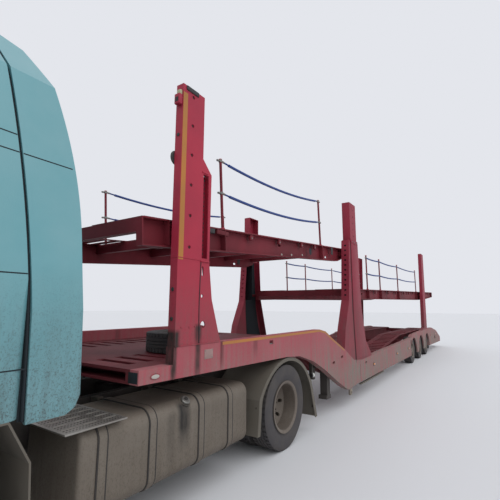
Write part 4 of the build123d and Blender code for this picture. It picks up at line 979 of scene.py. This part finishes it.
def guard_line(shift):
    """Line of the drive mudguard seen from the side, moved inward by a shift."""
    points = [(0.69, 0.33), (0.665, 0.52), (0.65, 0.70)]
    centre, radius = guard_circle()
    start = math.atan2(0.70 - centre[1], 0.65 - centre[0])
    end = math.atan2(0.86 - centre[1], -0.56 - centre[0])
    for n in range(1, 12):
        angle = start + (end - start) * n / 12
        points.append((centre[0] + radius * math.cos(angle), centre[1] + radius * math.sin(angle)))
    points += [(-0.56, 0.86), (-0.70, 0.69), (-0.785, 0.44), (-0.87, 0.19)]
    return [(x * (1 - shift), z - shift * 0.55 * max(z - 0.4, 0)) for x, z in points]


def guard_circle():
    """Centre and radius of the circle through the crown's two ends and its top."""
    (ax, az), (bx, bz), (cx, cz) = (0.65, 0.70), (0.04, GUARD_TOP - 0.012), (-0.56, 0.86)
    a, b, c = ax ** 2 + az ** 2, bx ** 2 + bz ** 2, cx ** 2 + cz ** 2
    d = 2 * (ax * (bz - cz) + bx * (cz - az) + cx * (az - bz))
    x = (a * (bz - cz) + b * (cz - az) + c * (az - bz)) / d
    z = (a * (cx - bx) + b * (ax - cx) + c * (bx - ax)) / d
    return (x, z), math.hypot(ax - x, az - z)


class TRANSPORTER_OT_mudguard_fittings(bpy.types.Operator):
    """Adds the drive mudguards' flanges, rolled edges, seams and bolts"""
    bl_idname = "transporter.mudguard_fittings"
    bl_label = "Mudguard fittings"

    def execute(self, context):
        outer = [at(x, 1.246, z) for x, z in guard_line(0.0)]
        inner = [at(x, 1.246, z) for x, z in guard_line(0.055)]
        edges = [drawn(corners, (0, 0.004, 0), "mudguard_plastic")
                 for corners in zip(outer, outer[1:], inner[1:], inner)]
        edges.append(tube([at(x, 1.247, z) for x, z in guard_line(0.055)], 0.006, "mudguard_plastic"))
        edges.append(block(at(0.036, 0.64, GUARD_TOP - 0.006), at(0.044, 1.246, GUARD_TOP + 0.001),
                           "seam_rubber", 0.0005))
        for x, z in ((0.67, 0.42), (0.655, 0.62), (-0.74, 0.57), (-0.80, 0.33)):
            head = at(x + math.copysign(0.02, x), 1.21, z)
            edges.append(rod(at(x, 1.21, z), head, 0.011, "rim_bolt", sides=6))
        paired("mudguard_edges", edges, "tractor")
        return {"FINISHED"}


# Posts and beams

STRIPE_WALL = 0.0015
FRONT_STRIPE = ((1.925, 2.13), (1.983, 2.13), (1.986, 3.70), (1.928, 3.70))
# Stations and heights of the dark line along the front post's bend: a painted shadow of its step
BEND_SHADOW_LINE = ((1.69, 1.40), (1.70, 1.62), (1.70, 1.80), (1.695, 1.95), (1.69, 2.13))
# Stations and heights along the middle post's outline, and along the dark sheet of painted shade behind its
# openings
MIDDLE_POST = ((-2.655, 3.0), (-2.655, 2.2), (-2.66, 1.6), (-2.73, 0.76), (-3.44, 0.76), (-3.27, 1.2),
               (-3.16, 1.7), (-3.10, 2.2), (-3.055, 3.0))
MIDDLE_POST_SHADE = ((-2.69, 2.97), (-2.69, 2.2), (-2.70, 1.6), (-2.76, 0.98), (-3.36, 0.98), (-3.23, 1.3),
                 (-3.13, 1.7), (-3.09, 2.2), (-3.03, 2.97))


def heads(places, start_y, end_y, radius, finish="trim_plastic", sides=6):
    """Bolt heads that stand out sideways at the stations and heights given."""
    return [rod(at(x, start_y, z), at(x, end_y, z), radius, finish, sides) for x, z in places]


class TRANSPORTER_OT_post_fittings(bpy.types.Operator):
    """Adds the posts' stripes, lamps, pads, weld beads, dark sheets of painted shade, collars and bolts"""
    bl_idname = "transporter.post_fittings"
    bl_label = "Post fittings"

    def execute(self, context):
        face = HALF_WIDTH
        parts = [
            drawn([at(x, face, z) for x, z in FRONT_STRIPE], (0, STRIPE_WALL, 0), "stripe_paint"),
            block(at(1.78, 1.168, 3.735), at(1.95, 1.262, 3.7795), "trim_plastic", 0.008),
            block(at(1.989, 1.192, 3.662), at(2.02, 1.24, 3.712), "plate_cream", 0.008),
            block(at(1.989, 1.18, 3.565), at(2.036, 1.246, 3.665), "post_enamel", 0.008),
            block(at(2.034, 1.195, 3.585), at(2.038, 1.232, 3.63), "strap_rubber", 0.001),
            rod(at(1.955, 1.165, 3.075), at(1.955, 1.138, 3.075), 0.07, "trim_plastic", sides=24, bevel=0.01),
            block(at(1.98, 1.16, 3.04), at(1.989, 1.172, 3.11), "post_enamel", 0.001),
            # Dark sheet of painted shade inside the front post's upper channel
            block(at(1.713, 1.2345, 3.01), at(1.977, 1.2385, 3.765), "seam_rubber", 0.001),
            block(at(1.615, face - 0.001, 3.0), at(1.70, face + 0.008, 3.012), "post_enamel", 0.003),
            block(at(1.575, 1.18, 2.136), at(1.70, face + 0.012, 2.148), "post_enamel", 0.003),
            # Slots drawn as flush dark marks: painted shade in them
            rowed(block(at(1.664, face - 0.001, 2.20), at(1.672, face + 0.001, 2.222), "seam_rubber", 0.0008),
                  19, (0, 0, 0.042)),
            # Dark line along the bend: painted shadow
            tube([at(x, face + 0.001, z) for x, z in BEND_SHADOW_LINE], 0.0045, "seam_rubber"),
            rod(at(1.58, face + 0.001, 2.148), at(1.99, face + 0.001, 2.148), 0.004, "post_enamel", sides=8),
            rod(at(1.99, 1.168, 2.148), at(1.99, face, 2.148), 0.004, "post_enamel", sides=8),
        ]
        for z in (1.62, 1.87, 3.28):
            parts.append(rod(at(1.989, 1.205, z), at(1.998, 1.205, z), 0.018, "trim_plastic", sides=6))
        parts += heads(((1.82, 1.545), (1.92, 1.548), (1.75, 1.55)), face - 0.001, face + 0.006, 0.009,
                       "post_enamel")
        # Each pin hole has painted shade inside it, in shadow red, and a worn half ring round it
        for z in (2.25, 2.54, 2.83, 3.12, 3.41, 3.70):
            parts.append(rod(at(1.85, 1.2405, z), at(1.85, 1.2435, z), 0.0158, "shadow_red", 24, 0.0002))
            outside, inside = (ellipse(at(1.85, face - 0.001, z), radius, radius, 24)[:12]
                               for radius in (0.024, 0.018))
            parts.append(drawn(outside + inside[::-1], (0, 0.003, 0), "post_enamel"))
        parts.append(rod(at(1.40, face + 0.001, 1.392), at(1.99, face + 0.001, 1.392), 0.006, "post_enamel",
                         sides=8))
        paired("front_post_fittings", parts, "trailer")

        edge = [at(x, face, z) for x, z in MIDDLE_POST]
        parts = [drawn(edge, (0, 0.012, 0), "aft_post_enamel", 0.002)]
        fold = Vector((0.028, 0, 0))
        for upper, lower in zip(edge[:3], edge[1:4]):
            corners = [upper, lower, lower + fold * 1.6, upper + fold]
            parts.append(drawn(corners, (0, 0.0012, 0), "shadow_red"))
        # Dark sheets of painted shade inside the middle post, behind its openings
        parts.append(block(at(-2.70, 1.058, 1.88), at(-2.695, 1.24, 3.0), "seam_rubber", 0.001))
        shade_sheet = [at(x, 1.2345, z) for x, z in MIDDLE_POST_SHADE]
        parts.append(drawn(shade_sheet, (0, 0.004, 0), "seam_rubber", 0.0005))
        parts.append(block(at(-2.659, 1.10, 3.035), at(-2.656, 1.249, 3.775), "aft_post_enamel", 0.001))
        for x0, y0, x1, y1 in ((-3.034, 1.238, -2.646, 1.266), (-3.034, 1.09, -3.01, 1.25),
                               (-2.662, 1.09, -2.646, 1.25)):
            parts.append(block(at(x0, y0, 2.955), at(x1, y1, 3.03), "aft_post_enamel", 0.003))
        parts += heads([(x, 2.99) for x in (-2.72, -2.84, -2.96)], 1.26, 1.272, 0.014, "galvanised")
        parts += heads([(-2.84, z) for z in (3.12, 3.25, 3.38, 3.51, 3.64)], 1.248, 1.256, 0.010)
        parts += heads([(-2.72 + (z - 1.2) * 0.05, z) for z in (1.2, 1.45, 1.7, 1.95, 2.2, 2.45, 2.7)],
                       1.248, 1.256, 0.009)
        paired("middle_post_fittings", parts, "trailer")

        parts = heads([(-11.13 - 0.06 * (z - 1.0) / 2.77, z) for z in (1.2, 1.7, 2.2, 2.7, 3.2, 3.6)],
                      1.248, 1.256, 0.012)
        paired("rear_post_fittings", parts, "trailer")
        return {"FINISHED"}


# Stations and heights along the cheek's upper edge, and how wide its stripe is
CHEEK_LINE = ((1.34, 1.386), (0.3, 1.386), (-0.5, 1.386), (-1.04, 1.386), (-1.27, 1.347), (-1.54, 1.226),
              (-1.85, 1.106), (-2.10, 1.004))
CHEEK_STRIPE = 0.03


def upright_seam(rear, front, foot, top):
    """Thin dark seam on the beam's side, between two stations and two heights."""
    corners = [at(x, HALF_WIDTH, z) for x, z in outline(rear, front, foot, top)]
    return drawn(corners, (0, 0.001, 0), "seam_rubber")


class TRANSPORTER_OT_beam_fittings(bpy.types.Operator):
    """Adds the side beams' stripe, marker, blank plate, seams, lashing ring, side lamps and lower strip"""
    bl_idname = "transporter.beam_fittings"
    bl_label = "Beam fittings"

    def execute(self, context):
        face = HALF_WIDTH
        parts = []
        for (ax, az), (bx, bz) in zip(CHEEK_LINE, CHEEK_LINE[1:]):
            corners = [at(ax, face, az), at(bx, face, bz), at(bx, face, bz - CHEEK_STRIPE),
                       at(ax, face, az - CHEEK_STRIPE)]
            parts.append(drawn(corners, (0, STRIPE_WALL, 0), "stripe_paint"))
        marker = at(2.19, face - 0.001, 1.185)
        parts.append(drawn(ellipse(marker, 0.04, 0.016), (0, 0.009, 0), "plate_white", 0.002))
        parts.append(drawn(ellipse(marker, 0.052, 0.024), (0, 0.004, 0), "post_enamel", 0.001))
        parts.append(block(at(1.49, face - 0.001, 1.25), at(1.61, face + 0.003, 1.335), "plate_rosy", 0.001))
        parts += heads(((1.5, 1.26), (1.6, 1.26), (1.5, 1.325), (1.6, 1.325)), face, face + 0.006, 0.005,
                       "galvanised", 8)
        parts.append(block(at(0.355, 1.236, 1.287), at(0.445, 1.243, 1.30), "galvanised", 0.002))
        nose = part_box("side_beams")[1].x
        # Dark plate in the beam's open front end: painted shade inside the hollow beam
        parts.append(block((nose - 0.004, 1.133, 1.15), (nose + 0.0012, 1.238, 1.232), "seam_rubber", 0.0006))
        parts.append(rod(at(-2.40, 1.236, 0.245), at(-2.40, 1.247, 0.245), 0.05, "lashing_ring", sides=24))
        parts.append(rod(at(-2.40, 1.24, 0.24), at(-2.40, 1.2485, 0.24), 0.02, "strap_rubber", 16, 0.0005))
        parts.append(block(at(-4.72, 1.2, 0.266), at(-3.0, 1.245, 0.29), "mudguard_plastic", 0.004))
        parts.append(upright_seam(-2.955, -2.95, 0.34, 0.73))
        for x in (1.995, 1.36):
            seat = face + 0.0005
            parts.append(rod(at(x, seat, 1.13), at(x, seat, 1.386), 0.005, "beam_enamel", sides=8))
        parts.append(upright_seam(-2.735, -2.727, 0.70, 0.76))
        for station in (-3.9, -6.1, -7.6, -12.2, -13.3):
            z = 0.52 if station > -9 else 0.62
            for half, edge, proud, finish, bevel in ((0.05, 0.0, 0.016, "amber_lens", 0.006),
                                                     (0.062, 0.01, 0.006, "trim_plastic", 0.004)):
                parts.append(block(at(station - half, face - 0.002, z - edge),
                                   at(station + half, face + proud, z + 0.04 + edge), finish, bevel))
        paired("beam_fittings", parts, "trailer")
        return {"FINISHED"}


# Decks


def deck_place(pivot, rise, along, up, y):
    """Place given along and up from a deck's pivot, in the deck's own tilted axes."""
    tilt = math.radians(rise)
    x = pivot[0] + along * math.cos(tilt) + up * math.sin(tilt)
    z = pivot[1] - along * math.sin(tilt) + up * math.cos(tilt)
    return at(x, y, z)


# Station and height of each deck's pivot, and its slope in degrees at rest
FRONT_DECK = ((1.84, 2.385), 4.4)
REAR_DECK = ((-11.18, 2.17), 1.6)
# Distance of the ropes from the truck's middle
ROPE_Y = 1.048


def rope_fittings(name, deck, body, half, stanchions, heights, spare):
    """Clamps, end links and top caps where the guard ropes meet the stanchions."""
    parts = []

    def bar(start, end, radius, finish, sides, bevel=0.002):
        parts.append(rod(deck_place(*deck, *start, ROPE_Y), deck_place(*deck, *end, ROPE_Y), radius, finish,
                         sides, bevel))

    for along in stanchions:
        bar((along, half + 0.79), (along, half + 0.805), 0.019, "post_enamel", 16, 0.004)
        bar((along, half - 0.002), (along, half + 0.02), 0.027, "post_enamel", 16, 0.004)
        for height in heights:
            bar((along, half + height - 0.016), (along, half + height + 0.016), 0.021, "galvanised", 16)
            for reach in (-0.062, 0.062):
                bar((along + reach * 0.25, half + height), (along + reach, half + height - spare), 0.0125,
                    "galvanised", 12)
    return paired(name, parts, body)


def rope_sleeves(name, deck, body, spans):
    """Plastic hose over each rope's hanging part, from the end link to the next stanchion's link."""
    parts = []
    for start, end, height, sag in spans:
        line = []
        for n in range(17):
            share = 0.055 + 0.9 * n / 16
            dip = sag * 4 * share * (1 - share)
            line.append(deck_place(*deck, start + (end - start) * share, height - dip, ROPE_Y))
        parts.append(tube(line, 0.0165, "rope_sheath", sides=12))
    return paired(name, parts, body)


def deck_block(deck, low, high, finish, bevel):
    """Block between two corners, each given along, up and sideways on a deck."""
    return block(deck_place(*deck, *low), deck_place(*deck, *high), finish, bevel)


def brackets(deck, places, low, high):
    """Folded brackets with their bolts on the web of a deck's side member."""
    parts = []
    for along in places:
        bolt_up = high - 0.043
        parts.append(rod(deck_place(*deck, along, bolt_up, 1.074), deck_place(*deck, along, bolt_up, 1.086),
                         0.012, "galvanised", sides=6))
        parts.append(deck_block(deck, (along - 0.03, low, 1.05), (along + 0.03, high, 1.082), "deck_enamel",
                                0.003))
    return parts


def lit_edge_strip(deck, fore, aft, up):
    """Brighter red strip on the outer top edge of a deck's side member: a painted highlight."""
    corners = [deck_place(*deck, along, up, y) for along, y in ((fore, 1.078), (aft, 1.078), (aft, 1.089),
                                                                (fore, 1.089))]
    return drawn(corners, (0, 0, 0.002), "worn_edge")


class TRANSPORTER_OT_deck_fittings(bpy.types.Operator):
    """Adds rope links, rope sleeves, deck brackets, end plates, painted edge highlights and bolts"""
    bl_idname = "transporter.deck_fittings"
    bl_label = "Deck fittings"

    def execute(self, context):
        for name, deck, half, stanchions, heights, spare, sags in (
                ("front", FRONT_DECK, 0.125, (-0.74, -3.5034), (0.78, 0.41), 0.004, ((0.075,), (0.07,))),
                ("rear", REAR_DECK, 0.15, (6.803, 5.653, 3.553, 0.5), (0.74, 0.37), 0.001,
                 ((0.015, 0.025, 0.03),) * 2)):
            rope_fittings(f"{name}_rope_links", deck, f"{name}_deck", half, stanchions, heights, spare)
            rope_sleeves(f"{name}_rope_sleeves", deck, f"{name}_deck", [
                (start, end, half + height, sag) for height, dips in zip(heights, sags)
                for start, end, sag in zip(stanchions, stanchions[1:], dips)])
        parts = [deck_block(FRONT_DECK, (-0.80, 0.05, 1.02), (-0.60, 0.115, 1.0865), "deck_enamel", 0.006),
                 deck_block(FRONT_DECK, (-0.56, 0.06, 1.03), (-0.46, 0.12, 1.0865), "trim_plastic", 0.008)]
        parts += brackets(FRONT_DECK, (-1.28, -1.99, -2.70, -3.2), 0.04, 0.113)
        for along, up in ((-2.02, -0.1), (-2.32, -0.09), (-2.68, -0.075)):
            ends = [deck_place(*FRONT_DECK, along, up, y) for y in (1.076, 1.087)]
            parts.append(rod(*ends, 0.016, "plate_white", sides=12, bevel=0.004))
        for low, high in (((-3.975, 0.117, 0.985), (-3.90, 0.127, 1.0885)),
                          ((-3.975, -0.02, 1.078), (-3.90, 0.127, 1.0885)),
                          ((-3.975, -0.07, 1.0), (-3.90, 0.12, 1.01))):
            parts.append(deck_block(FRONT_DECK, low, high, "trim_plastic", 0.003))
        # Dark oval on the side member: painted shade in an oval hole
        hole_shade = []
        for angle in (math.radians(15 * n) for n in range(24)):
            along, up = -2.98 + 0.045 * math.cos(angle), -0.005 + 0.06 * math.sin(angle)
            hole_shade.append(deck_place(*FRONT_DECK, along, up, 1.0855))
        parts.append(drawn(hole_shade, (0, 0.0015, 0), "seam_rubber"))
        parts.append(lit_edge_strip(FRONT_DECK, 0.39, -4.44, 0.1255))
        paired("front_deck_fittings", parts, "front_deck")
        parts = brackets(REAR_DECK, (7.6, 6.2, 4.9, 4.0, 2.8, 2.0, 1.2, -0.6, -1.4, -2.2, -2.8), 0.05, 0.138)
        parts.append(lit_edge_strip(REAR_DECK, 8.24, -3.28, 0.1505))
        paired("rear_deck_fittings", parts, "rear_deck")
        return {"FINISHED"}


# Underbody and lamps


class TRANSPORTER_OT_underbody(bpy.types.Operator):
    """Adds the work lamp, valve cylinder, air tanks, brake chambers, mudflaps and leg cranks"""
    bl_idname = "transporter.underbody"
    bl_label = "Underbody"

    def execute(self, context):
        parts = [
            rod(at(-0.94, 1.14, 0.73), at(-1.0, 1.16, 0.73), 0.032, "clear_lens", sides=24, bevel=0.012),
            rod(at(-0.93, 1.138, 0.73), at(-0.955, 1.145, 0.73), 0.036, "trim_plastic", sides=24),
            block(at(-1.0, 1.10, 0.75), at(-0.96, 1.15, 0.96), "frame_steel", 0.003),
            rod(at(-1.17, 1.06, 0.63), at(-1.17, 1.06, 0.80), 0.04, "frame_steel", sides=20, bevel=0.006),
            block(at(-1.20, 1.02, 0.80), at(-1.14, 1.14, 0.88), "frame_steel", 0.003),
            rod(at(-1.61, 1.02, 0.95), at(-1.61, 0.93, 0.95), 0.014, "galvanised", sides=12),
        ]
        paired("leg_fittings", parts, "trailer")
        tanks = [rod(at(-6.9, y, 0.50), at(-6.05, y, 0.46), 0.13, "frame_steel", sides=32, bevel=0.04)
                 for y in (0.18, -0.18)]
        tanks += [block(at(x, -0.47, 0.59), at(x + 0.05, 0.47, 0.65), "frame_steel", 0.004)
                  for x in (-6.8, -6.2)]
        joined("trailer_air_tanks", tanks, "trailer")
        brakes = []
        for _, row_x in TRAILER_AXLES:
            x = row_x - DRIVE_X + 0.001
            brakes += [
                rod(at(x + 0.12, 0.72, 0.44), at(x + 0.27, 0.72, 0.47), 0.075, "frame_steel", 24, 0.012),
                rod(at(x + 0.02, 0.72, 0.42), at(x + 0.13, 0.72, 0.442), 0.015, "galvanised", 12)]
        paired("trailer_brake_chambers", brakes, "trailer")
        flaps = [block(at(-11.80, 0.93, 0.16), at(-11.788, 1.20, 0.70), "seam_rubber", 0.003),
                 block(at(-11.81, 0.93, 0.66), at(-11.778, 1.20, 0.70), "frame_steel", 0.003)]
        paired("mudflaps", flaps, "trailer")
        return {"FINISHED"}


def lens_cells(cells, rear, front, low, high, bevel):
    """Lamp cells side by side, each from its inner to its outer edge in its own colour."""
    return [block((rear, inner, low), (front, outer, high), f"{tint}_lens", bevel)
            for inner, outer, tint in cells]


class TRANSPORTER_OT_tail_fittings(bpy.types.Operator):
    """Adds the tail's lamp lenses, plate blanks and the tractor's tail lenses"""
    bl_idname = "transporter.tail_fittings"
    bl_label = "Tail fittings"

    def execute(self, context):
        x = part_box("trailer_lamps")[0].x + 0.0005
        cells = lens_cells(((0.775, 0.86, "red"), (0.865, 0.95, "amber"), (0.955, 1.03, "clear"),
                            (1.035, 1.12, "red")), x, x + 0.02, 0.272, 0.368, 0.004)
        paired("trailer_lens_cells", cells, "trailer")
        plate = block((x + 0.024, -0.26, 0.265), (x + 0.031, 0.26, 0.375), "plate_white", 0.002)
        joined("rear_plate_blank", [plate], "trailer")
        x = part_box("tractor_lamps")[0].x
        cells = lens_cells(((0.19, 0.26, "amber"), (0.265, 0.34, "red"), (0.345, 0.415, "red")),
                           x - 0.004, x + 0.004, 0.74, 0.85, 0.003)
        paired("tractor_lens_cells", cells, "tractor")
        return {"FINISHED"}


# Stage

CAMERA_PLACE = (9.119, 3.497, 1.723)
CAMERA_YAW, CAMERA_PITCH, CAMERA_ROLL = 33.634, 8.848, 0.24
LENS_MM = 26.32


class TRANSPORTER_OT_stage(bpy.types.Operator):
    """Adds the floor, the lights and the camera"""
    bl_idname = "transporter.stage"
    bl_label = "Stage"

    def execute(self, context):
        scene = context.scene
        bpy.ops.mesh.primitive_plane_add(size=240)
        floor = context.object
        floor.name = "studio_floor"
        material, tree, shader = start_material("studio_floor")
        shader.inputs["Base Color"].default_value = tuple(scene.transporter_colours.floor)
        shader.inputs["Roughness"].default_value = 0.9
        floor.data.materials.append(material)

        world = bpy.data.worlds.new("studio_world")
        scene.world = world
        world.use_nodes = True
        tree = world.node_tree
        lit = tree.nodes["Background"]
        lit.inputs["Color"].default_value = linear("#F1F3F7")
        lit.inputs["Strength"].default_value = 0.9
        seen = add_node(tree, "ShaderNodeBackground", {"Color": linear("#E4E6EC"), "Strength": 1.0})
        path = add_node(tree, "ShaderNodeLightPath")
        direct = maths(tree, "ADD", path.outputs["Is Camera Ray"], path.outputs["Is Glossy Ray"])
        direct = maths(tree, "ADD", direct, path.outputs["Is Transmission Ray"])
        mixed = add_node(tree, "ShaderNodeMixShader", {}, {0: direct, 1: lit.outputs[0], 2: seen.outputs[0]})
        tree.links.new(mixed.outputs[0], tree.nodes["World Output"].inputs["Surface"])

        bpy.ops.object.light_add(type="SUN", rotation=(math.radians(-42), math.radians(16), 0))
        sun = context.object
        sun.data.energy = 1.0
        sun.data.angle = math.radians(60)

        bpy.ops.object.camera_add(location=CAMERA_PLACE)
        camera = context.object
        yaw, pitch, roll = (math.radians(a) for a in (CAMERA_YAW, CAMERA_PITCH, CAMERA_ROLL))
        flat = math.cos(pitch)
        forward = Vector((-math.cos(yaw) * flat, -math.sin(yaw) * flat, math.sin(pitch)))
        level = forward.cross(Vector((0, 0, 1))).normalized()
        up = level.cross(forward)
        right = level * math.cos(roll) + up * math.sin(roll)
        turned_up = up * math.cos(roll) - level * math.sin(roll)
        turn = Matrix((right, turned_up, -forward)).transposed().to_4x4()
        camera.matrix_world = Matrix.Translation(CAMERA_PLACE) @ turn
        camera.data.lens = LENS_MM
        camera.data.sensor_width = 36
        camera.data.clip_start = 0.05
        camera.data.clip_end = 300
        scene.camera = camera
        scene.view_settings.view_transform = "Standard"
        return {"FINISHED"}


class TRANSPORTER_PT_panel(bpy.types.Panel):
    """Colours, sizes and operators of the truck"""
    bl_idname = "TRANSPORTER_PT_panel"
    bl_label = "Car transporter"
    bl_space_type = "VIEW_3D"
    bl_region_type = "UI"
    bl_category = "Transporter"

    def draw(self, context):
        layout = self.layout
        for group in (context.scene.transporter_colours, context.scene.transporter_sizes):
            for name in group.__annotations__:
                layout.prop(group, name)
        for operator in OPERATORS:
            layout.operator(operator.bl_idname)


OPERATORS = (
    TRANSPORTER_OT_finish_frame,
    TRANSPORTER_OT_tyres,
    TRANSPORTER_OT_wheel_fittings,
    TRANSPORTER_OT_rim_lips,
    TRANSPORTER_OT_cab_seams,
    TRANSPORTER_OT_cab_side_fittings,
    TRANSPORTER_OT_cab_front_fittings,
    TRANSPORTER_OT_tank_fittings,
    TRANSPORTER_OT_mudguard_fittings,
    TRANSPORTER_OT_post_fittings,
    TRANSPORTER_OT_beam_fittings,
    TRANSPORTER_OT_deck_fittings,
    TRANSPORTER_OT_underbody,
    TRANSPORTER_OT_tail_fittings,
    TRANSPORTER_OT_stage,
)
CLASSES = (TransporterColours, TransporterSizes, *OPERATORS, TRANSPORTER_PT_panel)


def register():
    for cls in CLASSES:
        bpy.utils.register_class(cls)
    bpy.types.Scene.transporter_colours = bpy.props.PointerProperty(type=TransporterColours)
    bpy.types.Scene.transporter_sizes = bpy.props.PointerProperty(type=TransporterSizes)


def unregister():
    del bpy.types.Scene.transporter_sizes
    del bpy.types.Scene.transporter_colours
    for cls in reversed(CLASSES):
        bpy.utils.unregister_class(cls)


def main():
    register()
    for operator in OPERATORS:
        group, name = operator.bl_idname.split(".")
        getattr(getattr(bpy.ops, group), name)()


if __name__ == "__main__":
    main()
